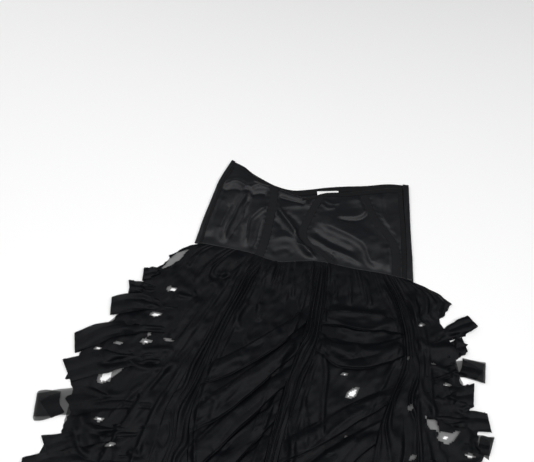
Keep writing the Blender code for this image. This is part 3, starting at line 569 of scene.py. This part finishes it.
def cloth(name, color, roughness, sheen, weave, weave_depth, crinkle, crinkle_depth, specular,
          alpha=1.0):
    """Cloth with a weave and small crinkles as bump, and colour that varies a little."""
    material = bpy.data.materials.new(name)
    material.use_nodes = True
    tree = material.node_tree
    nodes = tree.nodes
    links = tree.links
    shader = nodes["Principled BSDF"]
    shader.inputs["Roughness"].default_value = roughness
    shader.inputs["Sheen Weight"].default_value = sheen
    shader.inputs["Sheen Roughness"].default_value = 0.4
    shader.inputs["Specular IOR Level"].default_value = specular
    shader.inputs["Alpha"].default_value = alpha
    place = nodes.new("ShaderNodeTexCoord")

    tone = nodes.new("ShaderNodeMix")
    tone.data_type = "RGBA"
    tone.inputs["A"].default_value = (*[c * DARKER for c in color], 1.0)
    tone.inputs["B"].default_value = (*[c * LIGHTER for c in color], 1.0)
    links.new(add_noise(tree, place, 38.0, 3.0), tone.inputs["Factor"])
    links.new(tone.outputs["Result"], shader.inputs["Base Color"])

    thread = nodes.new("ShaderNodeMath")
    thread.operation = "MULTIPLY"
    for socket, direction in enumerate("XY"):
        wave = nodes.new("ShaderNodeTexWave")
        wave.wave_type = "BANDS"
        wave.bands_direction = direction
        wave.inputs["Scale"].default_value = weave
        wave.inputs["Distortion"].default_value = 0.4
        links.new(place.outputs["Object"], wave.inputs["Vector"])
        links.new(wave.outputs["Fac"], thread.inputs[socket])
    fine = add_bump(tree, thread.outputs["Value"], 0.5, weave_depth)
    coarse = add_bump(tree, add_noise(tree, place, crinkle, 4.0, 0.6), 0.6, crinkle_depth)
    links.new(fine.outputs["Normal"], coarse.inputs["Normal"])
    links.new(coarse.outputs["Normal"], shader.inputs["Normal"])
    return material


def chiffon(name, alpha):
    """Black chiffon, more or less see-through."""
    return cloth(name, (0.0028, 0.0032, 0.0042), roughness=0.47, sheen=0.01, alpha=alpha,
                 weave=800, weave_depth=0.05, crinkle=150, crinkle_depth=0.5, specular=0.088)


SATIN = cloth("satin", (0.0042, 0.0048, 0.0064), roughness=0.46, sheen=0.02,
              weave=900, weave_depth=0.02, crinkle=60, crinkle_depth=0.30, specular=0.30)
TAPE = cloth("boning_tape", (0.0068, 0.0072, 0.0082), roughness=0.80, sheen=0.03,
             weave=520, weave_depth=0.10, crinkle=120, crinkle_depth=0.2, specular=0.16)
BINDING = cloth("binding", (0.0066, 0.0069, 0.0076), roughness=0.88, sheen=0.05,
                weave=420, weave_depth=0.15, crinkle=160, crinkle_depth=0.4, specular=0.14)
LABEL = cloth("label", (0.82, 0.82, 0.82), roughness=0.60, sheen=0.0,
              weave=700, weave_depth=0.05, crinkle=40, crinkle_depth=0.2, specular=0.3)
CHIFFON = chiffon("chiffon", 0.985)
UNDER = chiffon("chiffon_under", 0.55)
STRIPS = chiffon("chiffon_strips", 0.98)
SHEER = chiffon("chiffon_sheer", 0.72)


# Bodice

def seam_y(x):
    """Y of the waist seam."""
    return read(WAIST_SEAM, "x", "y", x)


def guide_x(guide, rise):
    """X of a guide line of the bodice."""
    return read(BODICE_GUIDES, "rise", guide, rise)


def near_channels(x, rise):
    """Distance to the nearest edge of a boning channel, negative inside it."""
    return np.min([np.abs(x - guide_x(name, rise)) - CHANNEL_WIDTH / 2
                   for name in ("channel_a", "channel_b", "channel_c")], axis=0)


def satin_height(x, y, rise):
    """Height of the bodice front: creases that flatten under the tapes, and small puckers."""
    left = guide_x("left", rise)
    right = guide_x("right", rise)
    height = creases_height(SATIN_CREASES, x, y)
    height += uneven(3.0, x + y * 0.5, y - x * 0.3, 34.0, 7)
    height += uneven(0.9, x - y, y + x * 0.4, 15.0, 8)
    from_tape = near_channels(x, rise)
    fade = ease(rise / 0.11) * ease((1.0 - rise) / 0.05)
    fade = fade * ease((x - left) / 7.0) * ease((right - x) / 9.0)
    pucker = np.sin(y / 1.9 + 6.0 * soft_noise(x, y, 20.0, 5)) * 0.3
    pucker = pucker * np.exp(-np.maximum(from_tape, 0.0) / 4.0) * (from_tape > -2.0)
    tucked = 0.3 * (1.0 - ease(rise / 0.14))
    return (BODICE_BASE - tucked
            + fade * (height * lerp(0.22, 1.0, ease((from_tape + 3.0) / 10.0)) + pucker))


def bodice_grid(start, end, rises, columns):
    """X, y and rise of a grid on the bodice between two (guide, offset) lines."""
    rise = np.repeat(np.asarray(rises)[:, None], columns, axis=1)
    across = np.repeat(span(columns)[None, :], len(rises), axis=0)

    def at(level):
        first = guide_x(start[0], level) + start[1]
        last = guide_x(end[0], level) + end[1]
        return lerp(first, last, across)

    x = at(rise)
    bottom = seam_y(at(np.zeros_like(rise))) + SEAM_GAP / 2
    top = read(TOP_EDGE, "x", "front", at(np.ones_like(rise)))
    return x, lerp(bottom, top, rise), rise


def ribs(x):
    """Fine ribs across a binding."""
    return 0.12 * np.sin(x * 2.4)


def make_bodice():
    """Satin front and back, tapes, bands, bindings and the blank label."""
    rises = span(136)
    x, y, rise = bodice_grid(("left", 0.0), ("right", 0.0), rises, 262)
    front = add_grid("satin_front", x, y, satin_height(x, y, rise), SATIN,
                     closed=SATIN_SHELL)
    finish_piece(front, "bodice_front")

    half = CHANNEL_WIDTH / 2
    binding_rise = 1.0 - BINDING_WIDTH / BODICE_LENGTH
    bands = [
        ("channel_left", "channel_a", -half, half, 1.0, TAPE, "boning_tape"),
        ("channel_middle", "channel_b", -half, half, binding_rise, TAPE, "boning_tape"),
        ("channel_right", "channel_c", -half, half, binding_rise, TAPE, "boning_tape"),
        ("side_band_left", "left", 0.0, 5.0, binding_rise, BINDING, "binding"),
        ("side_band_right", "right", -9.0, 0.0, binding_rise, BINDING, "binding"),
    ]
    for name, guide, first, last, top, material, slot in bands:
        rises = np.linspace(0.004, top, 120)
        x, y, rise = bodice_grid((guide, first), (guide, last), rises, 14)
        across = np.linspace(-1.0, 1.0, 14)[None, :]
        crown = TAPE_CROWN * (1.0 - np.abs(across)**4)
        z = satin_height(x, y, rise) + TRIM_LIFT + crown
        piece = add_grid(name + "_cloth", x, y, z, material, closed=TRIM_SHELL)
        finish_piece(piece, name)

    rises = np.linspace(binding_rise, 1.0, 16)
    x, y, rise = bodice_grid(("left", 0.0), ("right", 0.0), rises, 400)
    keep = x[:-1, :-1] > BINDING_START
    across = np.linspace(-1.0, 1.0, 16)[:, None]
    crown = (BINDING_CROWN + ribs(x)) * np.sqrt(np.maximum(1.0 - across**2, 0.0))
    z = satin_height(x, y, rise) + TRIM_LIFT + crown
    binding = add_grid("binding_front_cloth", x, y, z, BINDING, keep=keep, closed=TRIM_SHELL)
    finish_piece(binding, "binding_front")
    make_bodice_back()


def back_section(rise):
    """Middle line of the back: flat on the ground and turned over at both sides."""
    bottom = BACK_WALL / 2
    top = BODICE_BASE - TURNED_DEPTH
    radius = (top - bottom) / 2
    left = guide_x("outline_left", rise) + BACK_WALL / 2 + radius
    right = guide_x("outline_right", rise) - BACK_WALL / 2 - radius
    turn = np.radians(np.linspace(0.0, 180.0, 13)[1:-1])
    x = [np.linspace(guide_x("left", rise) - SEAM_GAP, left, 12)]
    z = [np.full(12, top)]
    x.append(left - radius * np.sin(turn))
    z.append(bottom + radius + radius * np.cos(turn))
    x.append(np.linspace(left, right, 150))
    z.append(np.full(150, bottom))
    x.append(right + radius * np.sin(turn))
    z.append(bottom + radius - radius * np.cos(turn))
    x.append(np.linspace(right, guide_x("right", rise) + SEAM_GAP, 12))
    z.append(np.full(12, top))
    return np.concatenate(x), np.concatenate(z)


def make_bodice_back():
    """Back panel with its inner binding and label."""
    low, _ = back_section(0.0)
    high, _ = back_section(1.0)
    rows = []
    for rise in span(90):
        x, z = back_section(rise)
        y = lerp(seam_y(low) + SEAM_GAP / 2, read(TOP_EDGE, "x", "back", high), rise)
        wave = uneven(0.7, x * 3.0, y, 15.0, 21) * (z > 3.0)
        rows.append((x, y, z + wave * ease(rise / 0.05)))
    x, y, z = (np.array([row[k] for row in rows]) for k in range(3))
    back = add_grid("satin_back", x, y, z, SATIN, closed=BACK_SHELL)
    finish_piece(back, "bodice_back")

    edge = np.linspace(*BACK_BINDING_ENDS, 300)
    top = read(TOP_EDGE, "x", "back", edge) - SEAM_GAP
    across = span(14)[:, None]
    x = np.repeat(edge[None, :], 14, axis=0)
    y = top[None, :] - across * BACK_BINDING_WIDTH
    lift = BACK_BINDING_CROWN * np.sqrt(np.maximum(1.0 - (2 * across - 1.0)**2, 0.0))
    z = BACK_WALL + 0.6 + lift + ribs(x)
    binding = add_grid("binding_back_cloth", x, y, z, BINDING, closed=TRIM_SHELL)
    finish_piece(binding, "binding_back")

    tilt = math.radians(LABEL_TILT)
    u = np.linspace(-LABEL_HALF_WIDTH, LABEL_HALF_WIDTH, 44)
    v = np.linspace(-LABEL_HALF_HEIGHT, LABEL_HALF_HEIGHT, 20)
    u, v = np.meshgrid(u, v)
    x = LABEL_MIDDLE[0] + u * math.cos(tilt) - v * math.sin(tilt)
    y = LABEL_MIDDLE[1] + u * math.sin(tilt) + v * math.cos(tilt)
    z = LABEL_LEVEL + 0.15 * (u / LABEL_HALF_WIDTH)**2 + 0.15 * soft_noise(u, v, 9.0, 31)
    label = add_grid("label_cloth", x, y, z, LABEL, closed=LABEL_SHELL)
    finish_piece(label, "label_blank")


# Skirt

def outline_x(side, down):
    """X of the skirt's side edge."""
    return read(SKIRT_EDGES, "down", side, down)


def bundle_edges(bundle, down):
    """X of the two edges of a gathered bundle."""
    middle = read(BUNDLES, "down", bundle, down)
    half = read(BUNDLES, "down", bundle + "_width", down) / 2
    return middle - half, middle + half


def zone_edges(zone, down):
    """X of the two edges of a zone of the skirt."""
    if zone in BUNDLE_ZONES:
        return bundle_edges(zone, down)
    before = {"left_middle": "a", "right_middle": "b", "right": "c"}
    after = {"left": "a", "left_middle": "b", "right_middle": "c"}
    start = bundle_edges(before[zone], down)[1] if zone in before else outline_x("left", down)
    end = bundle_edges(after[zone], down)[0] if zone in after else outline_x("right", down)
    return start, end


def skirt_y(waist, down):
    """Y of a point below a place on the waist, which follows the seam at first."""
    return (seam_y(waist) - SEAM_GAP / 2) * (1.0 - ease(down / SEAM_DEPTH)) - down


def skirt_base(x, down):
    """Height of the cloth between the folds, lower at the side edges."""
    side = np.minimum(x - outline_x("left", down), outline_x("right", down) - x)
    base = lerp(BODICE_BASE, SKIRT_BASE, ease(down / 50.0))
    return lerp(np.minimum(base, SIDE_BASE), base, ease(side / 25.0))


def rounded_folds(phase, power=2.2):
    """Rounded ridges with sharp valleys between them, one for each unit of phase."""
    return 1.0 - np.abs(2.0 * (phase - np.floor(phase)) - 1.0)**power


def soft_folds(phase):
    """Ridges between rounded and wavy, one for each unit of phase."""
    return (rounded_folds(phase) + 0.5 - 0.5 * np.cos(2.0 * math.pi * phase)) / 2


def strand_crease(strand):
    """Crease that runs along a bundle at changing places across it."""
    points = []
    for t in span(6):
        down = lerp(strand.first, strand.last, float(t))
        start, end = bundle_edges(strand.bundle, down)
        points.append((float(lerp(start, end, lerp(strand.start, strand.end, t))), -down))
    return Crease(strand.height, strand.width, strand.width, points)


def skirt_relief(x, y):
    """Soft folds and crinkles of the skirt apart from its gathers."""
    relief = creases_height(SKIRT_CREASES, x, y)
    relief += creases_height(map(strand_crease, STRANDS), x, y)
    relief += uneven(4.5, x + 0.4 * y, y - 0.5 * x, 40.0, 81)
    relief += uneven(1.8, x * 1.5 - y, y + x * 0.6, 16.0, 82)
    return RELIEF_LIMIT * np.tanh(relief / RELIEF_BEND) * ease(-y / 50.0)


def zone_height(zone, number, blend, down):
    """Folds of one zone: waist gathers that die out, or a bundle that runs to the hem."""
    rim = ease(blend / 0.08) * ease((1.0 - blend) / 0.08)
    phase = blend * zone.folds
    phase = phase + uneven(1.8 * rim, phase * 50.0, down * 0.5, 62.0, 40 + number)
    phase = phase + uneven(1.7 * rim, phase * 10.0, down, 46.0, 50 + number)
    fold = np.floor(phase)
    fullness = soft_noise(fold * 41.0, down * 0.5, 38.0, 60 + number)
    if zone.name in BUNDLE_ZONES:
        start, end = bundle_edges(zone.name, down)
        height = np.minimum(zone.height, 0.60 * (end - start) / zone.folds)
        crown = 2.4 * np.sin(math.pi * blend)
        main = soft_folds(phase) * height * (0.12 + fullness)
        strength = 1.1 * ease(soft_noise(blend * 90.0, down, 44.0, 75 + number) * 2.0 - 0.7)
        fine = strength * soft_folds(phase * 2.3 + soft_noise(blend * 90, down, 60.0, 70))
        return (main + fine + crown) * rim * lerp(0.3, 1.0, ease(down / 30.0))
    reach = GATHER_DEPTH * (0.6 + 0.55 * soft_noise(fold * 47.0, 0.0, 30.0, 90 + number))
    fade = ease((reach - down) / 48.0)
    start, end = zone_edges(zone.name, down)
    group = soft_noise(lerp(start, end, blend), down * 0.25, 34.0, 33)
    group = lerp(0.22, 1.15, ease((group - 0.3) / 0.4))
    main = soft_folds(phase) * zone.height * (0.35 + 0.95 * fullness) * group
    pleats = 0.6 * rounded_folds(phase * 2.6 + 0.3, 1.6) * np.exp(-down / 18.0) * group
    if zone.name == "left":
        main = main * ease(blend * zone.folds / 2.4 + 0.12)
    if zone.name == "right":
        main = main * ease((1.0 - blend) * zone.folds / 2.4 + 0.2)
    return (main + pleats) * fade * lerp(0.35, 1.0, ease(down / 14.0))


def ragged_edge(x, down, size, seed):
    """Outward shift of the skirt's side edges, which flutter."""
    left = outline_x("left", down)
    right = outline_x("right", down)
    near_left = ease(1.0 - (x - left) / FLUTTER_WIDTH)
    near_right = ease(1.0 - (right - x) / FLUTTER_WIDTH)
    flutter = size * (soft_noise(down, 0.0, 17.0, seed) - 0.25)
    flutter = flutter + uneven(0.4 * size, down, 0.0, 5.0, seed + 1)
    return (near_right - near_left) * flutter * ease(down / 12.0)


def make_skirt_front():
    """Front of the skirt with waist gathers, bundles and soft waves between them."""
    downs = span(SKIRT_ROWS)**1.12 * SKIRT_LENGTH
    xs, ys, zs = [], [], []
    for number, zone in enumerate(SKIRT_ZONES):
        last = number == len(SKIRT_ZONES) - 1
        blend = span(zone.columns + 1)
        blend = blend if last else blend[:-1]
        down, blend = np.meshgrid(downs, blend, indexing="ij")
        start, end = zone_edges(zone.name, down)
        x = lerp(start, end, blend)
        waist = lerp(*zone_edges(zone.name, np.zeros_like(down)), blend)
        y = skirt_y(waist, down)
        z = skirt_base(x, down) + zone_height(zone, number, blend, down)
        z = z + skirt_relief(x, y) * (0.5 if zone.name in BUNDLE_ZONES else 1.0)
        xs.append(x + ragged_edge(x, down, 13.0, 97))
        ys.append(y)
        zs.append(np.maximum(z, SKIRT_LOWEST))
    x, y, z = (np.concatenate(part, axis=1) for part in (xs, ys, zs))
    keep = closed_cells(x, y)
    skirt = add_grid("chiffon_front", x[::-1], y[::-1], z[::-1], CHIFFON, keep=keep[::-1])
    finish_piece(skirt, "skirt_front")


def make_skirt_back():
    """Back of the skirt, nearly flat on the ground."""
    down, blend = np.meshgrid(np.linspace(0.0, SKIRT_LENGTH, 230), span(320), indexing="ij")
    x = lerp(outline_x("left", down), outline_x("right", down), blend)
    waist = lerp(outline_x("left", 0.0), outline_x("right", 0.0), blend)
    y = skirt_y(waist, down)
    z = BACK_LEVEL + uneven(0.5, x, y, 24.0, 91)
    x = x + ragged_edge(x, down, 4.0, 95)
    keep = closed_cells(x, y, back=True)
    back = add_grid("chiffon_back", x[::-1], y[::-1], z[::-1], UNDER, keep=keep[::-1])
    finish_piece(back, "skirt_back")


# Swags and strips

def swag_point(swag, left_bundle, right_bundle, along, across):
    """X and depth of a point of a swag."""
    bow = np.sin(math.pi * along)
    middle = lerp(swag.left_down, swag.right_down, along) + swag.sag * bow
    down = middle + (across - 0.5) * swag.height * lerp(0.78, 1.06, bow)
    left = bundle_edges(left_bundle, down)[1] - SWAG_TUCK
    right = bundle_edges(right_bundle, down)[0] + SWAG_TUCK
    return lerp(left, right, along), down


def make_swag(name, swag, left_bundle, right_bundle, seed):
    """Swag between two bundles: soft folds that hang in curves and fan out from both ends."""
    across, along = np.meshgrid(np.linspace(1.0, 0.0, 60), span(130), indexing="ij")
    bow = np.sin(math.pi * along)
    x, down = swag_point(swag, left_bundle, right_bundle, along, across)
    edge = uneven(6.0, along * 100.0, across * 6.0, 15.0, seed)
    down = down + edge * (0.15 + 0.85 * across)
    draws = np.random.default_rng(seed + 3)
    creases = []
    for end in (0, 1):
        for place in (0.22, 0.50, 0.80):
            start = abs(end - 0.03)
            reach = abs(end - draws.uniform(0.35, 0.75))
            spread = place + draws.uniform(-0.16, 0.16)
            turn = [(lerp(start, reach, t), lerp(0.5 + 0.4 * (place - 0.5), spread, t**0.7)
                     + 0.12 * draws.uniform(-1.0, 1.0) * t) for t in (0.0, 0.5, 1.0)]
            line = [swag_point(swag, left_bundle, right_bundle, u, v) for u, v in turn]
            line = [(float(px), -float(pdown)) for px, pdown in line]
            creases.append(Crease(draws.uniform(2.5, 6.0), draws.uniform(4.0, 12.0),
                                  draws.uniform(4.0, 12.0), line))
    drift = uneven(1.1, along * 100.0, across * 20.0, 30.0, seed + 1)
    phase = across * swag.folds + drift + 0.25 * bow
    folds = SWAG_FOLD * soft_folds(phase) * (0.35 + 0.65 * bow) * ease(across / 0.15)
    ripple = uneven(1.4, along * 100.0, across * 60.0, 11.0, seed + 2)
    wave = 0.8 + 0.4 * soft_noise(along * 100.0, 0.0, 24.0, seed + 4)
    lift = swag.lift * lerp(0.45, 1.0, bow) * across**1.4 * wave
    curl = -3.0 * ease((across - 0.92) / 0.08)
    relief = skirt_relief(x, -down)
    rest = skirt_base(x, down) + np.maximum(0.6 * relief, -0.4)
    shape = lift + folds + creases_height(creases, x, -down) * ease(across / 0.1)
    shape = shape + ripple * across + 0.4 * relief
    shape = SWAG_LIMIT * np.tanh(shape / SWAG_LIMIT)
    z = np.maximum(rest + STRIP_GAP + shape + curl, rest + 0.5)
    piece = add_grid(name + "_cloth", x, -down, z, CHIFFON)
    finish_piece(piece,
                 name)


def return_length(side, tip, forward, half_width):
    """How far a folded tab can come back along the ground before it meets the skirt's back."""
    back = 0.0
    clear = True
    while clear and back < 40.0:
        back += 1.0
        for edge in (-half_width, half_width):
            x = tip[0] - forward[0] * back - forward[1] * edge
            down = tip[1] - forward[1] * back + forward[0] * edge
            clear = clear and abs(x) > abs(float(outline_x(side, down))) + 2.0
    return back - 1.0


def strip_path(strip, side):
    """Lanes of a side strip: out over the skirt, back under its tip, and out on the ground."""
    t = span(OUT_STEPS)
    x = lerp(strip.root_x, strip.tip_x, t)
    down = lerp(strip.root_down, strip.tip_down, t) + strip.sag * np.sin(math.pi * t)
    heading = np.stack([np.gradient(x), np.gradient(down)], axis=-1)
    heading /= np.linalg.norm(heading, axis=1)[:, None]
    outside = ease((np.abs(x) - np.abs(outline_x(side, down))) / 22.0 + 1.0)
    end = heading[-1]
    tip = np.array([x[-1], down[-1]])
    rest = skirt_base(x, down) + STRIP_GAP + np.maximum(skirt_relief(x, -down), -0.4)
    path = [np.stack([x, down], axis=-1)]
    level = [lerp(rest, TAB_TOP, outside)]
    cross = [heading]
    back = max(return_length(side, tip, end, strip.width / 2), 4.0)

    turn = np.linspace(0.0, math.pi, TURN_STEPS + 1)[1:]
    radius = (TAB_TOP - TAB_MIDDLE) / 2
    path.append(tip + end * (radius * np.sin(turn))[:, None])
    level.append(TAB_MIDDLE + radius + radius * np.cos(turn))
    path.append(tip - end * np.linspace(0.0, back, BACK_STEPS + 1)[1:, None])
    level.append(np.full(BACK_STEPS, TAB_MIDDLE))
    radius = (TAB_MIDDLE - TAB_FLOOR) / 2
    inner = tip - end * back
    path.append(inner - end * (radius * np.sin(turn))[:, None])
    level.append(TAB_FLOOR + radius + radius * np.cos(turn))
    cross.append(np.repeat(end[None, :], TURN_STEPS + BACK_STEPS, axis=0))

    fan = math.radians(strip.fan)
    last = np.array([end[0] * math.cos(fan) - end[1] * math.sin(fan),
                     end[0] * math.sin(fan) + end[1] * math.cos(fan)])
    blend = span(TURN_STEPS)[:, None]
    cross.append(lerp(end, last, blend))
    run = max(back + strip.reach, 6.0)
    path.append(inner + last * np.linspace(0.0, run, GROUND_STEPS + 1)[1:, None])
    level.append(np.full(GROUND_STEPS, TAB_FLOOR))
    cross.append(np.repeat(last[None, :], GROUND_STEPS, axis=0))
    path = np.concatenate(path)
    outside = np.concatenate([outside, np.ones(len(path) - OUT_STEPS)])
    return path, np.concatenate(level), np.concatenate(cross), outside


def make_strip(name, strip, side, seed):
    """Side strip with soft lengthwise folds and a slanted tip."""
    sign = -1.0 if side == "left" else 1.0
    path, level, cross, outside = strip_path(strip, side)
    steps = np.arange(len(path))[None, :] * 1.0
    across = span(28)[:, None]
    grow = np.clip(steps / OUT_STEPS, 0.0, 1.0)
    ground = np.clip((steps - OUT_STEPS - TURN_STEPS - BACK_STEPS) / TURN_STEPS, 0.0, 1.0)
    width = strip.width * lerp(0.60, 1.08, ease(grow * 1.6)) * lerp(1.0, 0.8, ground)
    width = width * (0.86 + 0.34 * soft_noise(steps, 0.0, 12.0, seed))
    spread = width * (across - 0.5) + uneven(1.6, steps, across * 3.0, 6.0, seed + 5)
    slide = strip.skew * (across - 0.5) * grow * lerp(1.0, -1.4, ground)
    px = path[None, :, 0] - sign * cross[None, :, 1] * spread + cross[None, :, 0] * slide
    pdown = path[None, :, 1] + sign * cross[None, :, 0] * spread + cross[None, :, 1] * slide
    lane = 1.0 - np.clip((steps - OUT_STEPS) / 6.0, 0.0, 1.0)
    lift = strip.lift * np.sin(math.pi * np.minimum(steps / 51.0, 1.0)) * (1.0 - outside)[None, :]
    drift = uneven(0.9, steps, across * 10.0, 20.0, seed + 1)
    folds = soft_folds(across * 1.9 + drift + 0.2) * lerp(3.0, 1.6, outside)[None, :]
    ripple = uneven(3.0, steps, across * 26.0, 7.0, seed + 2)
    ripple = ripple * lerp(1.0, 0.45, outside)[None, :]
    rise = 14.0 + 20.0 * soft_noise(across * 30.0, 0.0, 9.0, seed + 6) + 8.0 * np.abs(across - 0.5)
    sunk = ROOT_DEPTH * (1.0 - ease((steps - rise) / 9.0))
    z = level[None, :] + lift * across**1.3 + (folds + ripple) * lane - sunk
    z = z + uneven(0.5, steps, across * 26.0, 9.0, seed + 4) * (1.0 - lane)
    z = np.maximum(z, np.where(steps < 45.0, STRIP_LOWEST, TAB_LOWEST))
    order = slice(None, None, -1) if side == "right" else slice(None)
    material = SHEER if name in SHEER_STRIPS else STRIPS
    piece = add_grid(name + "_cloth", px[order], -pdown[order], z[order], material)
    finish_piece(piece,
                 name)


# Stage

# The sky's glow: where it comes from, how it narrows, and its strength far from it and in it
SKY_TOWARD = (-0.55, 0.83, 0.0)
SKY_NARROW = (0.35, 1.0)
SKY_STRENGTH = (0.028, 0.17)

# Area lights that face the dress, in metres and watts
Lamp = namedtuple("Lamp", "name place power size")
LAMPS = [
    Lamp("back", (-1.6, 1.0, 1.1), 7.2, 0.8),
    Lamp("back_right", (1.3, 1.1, 1.1), 3.0, 0.8),
    Lamp("left", (-0.6, -0.4, 1.6), 21.0, 1.6),
    Lamp("right", (1.1, -0.4, 2.0), 34.5, 1.8),
]


def make_sky():
    """Pale sky that is brightest low behind the dress, on the left."""
    world = bpy.data.worlds.new("soft_sky")
    world.use_nodes = True
    nodes = world.node_tree.nodes
    links = world.node_tree.links
    place = nodes.new("ShaderNodeTexCoord")
    nodes["Background"].inputs["Color"].default_value = (1.0, 1.0, 1.0, 1.0)
    toward = nodes.new("ShaderNodeVectorMath")
    toward.operation = "DOT_PRODUCT"
    toward.inputs[1].default_value = SKY_TOWARD
    glow = nodes.new("ShaderNodeMapRange")
    glow.interpolation_type = "SMOOTHSTEP"
    glow.inputs["From Min"].default_value = SKY_NARROW[0]
    glow.inputs["From Max"].default_value = SKY_NARROW[1]
    glow.inputs["To Min"].default_value = SKY_STRENGTH[0]
    glow.inputs["To Max"].default_value = SKY_STRENGTH[1]
    links.new(place.outputs["Generated"], toward.inputs[0])
    links.new(toward.outputs["Value"], glow.inputs["Value"])
    links.new(glow.outputs["Result"], nodes["Background"].inputs["Strength"])
    bpy.context.scene.world = world


def make_stage():
    """Pale floor, soft light and the camera."""
    bpy.ops.mesh.primitive_plane_add(size=8.0, location=(0.0, 0.0, 0.0))
    floor = bpy.context.object
    floor.name = "floor"
    material = bpy.data.materials.new("floor")
    material.use_nodes = True
    shader = material.node_tree.nodes["Principled BSDF"]
    shader.inputs["Base Color"].default_value = (0.93, 0.93, 0.93, 1.0)
    shader.inputs["Roughness"].default_value = 0.9
    shader.inputs["Specular IOR Level"].default_value = 0.1
    floor.data.materials.append(material)

    make_sky()
    bpy.context.scene.view_settings.view_transform = "Standard"
    for lamp in LAMPS:
        data = bpy.data.lights.new(lamp.name, "AREA")
        data.energy = lamp.power
        data.size = lamp.size
        light = bpy.data.objects.new(lamp.name, data)
        light.location = lamp.place
        light.rotation_euler = (-Vector(lamp.place)).to_track_quat("-Z", "Y").to_euler()
        bpy.context.scene.collection.objects.link(light)

    camera = bpy.data.objects.new("camera", bpy.data.cameras.new("camera"))
    camera.data.lens = CAMERA_LENS
    azimuth = math.radians(CAMERA_AZIMUTH)
    elevation = math.radians(CAMERA_ELEVATION)
    back = Vector((math.sin(azimuth) * math.cos(elevation),
                   -math.cos(azimuth) * math.cos(elevation), math.sin(elevation)))
    target = Vector([(CAMERA_TARGET[k] + SHIFT[k]) * MM for k in range(2)] + [0.0])
    camera.location = target + back * CAMERA_DISTANCE
    camera.rotation_euler = (-back).to_track_quat("-Z", "Y").to_euler()
    bpy.context.scene.collection.objects.link(camera)
    bpy.context.scene.camera = camera


make_stage()
make_bodice()
make_skirt_back()
make_skirt_front()
for rows, place, ends, seed in ((MIDDLE_SWAGS, "middle", "ab", 400),
                                (RIGHT_SWAGS, "right", "bc", 500)):
    for number, row in enumerate(rows):
        make_swag(f"swag_{place}_{number + 1}", row, *ends, seed + 10 * number)
for rows, side, seed in ((LEFT_STRIPS, "left", 600), (RIGHT_STRIPS, "right", 800)):
    for number, row in enumerate(rows, 1):
        make_strip(f"strip_{side}_{number:02d}", row, side, seed + 10 * number)
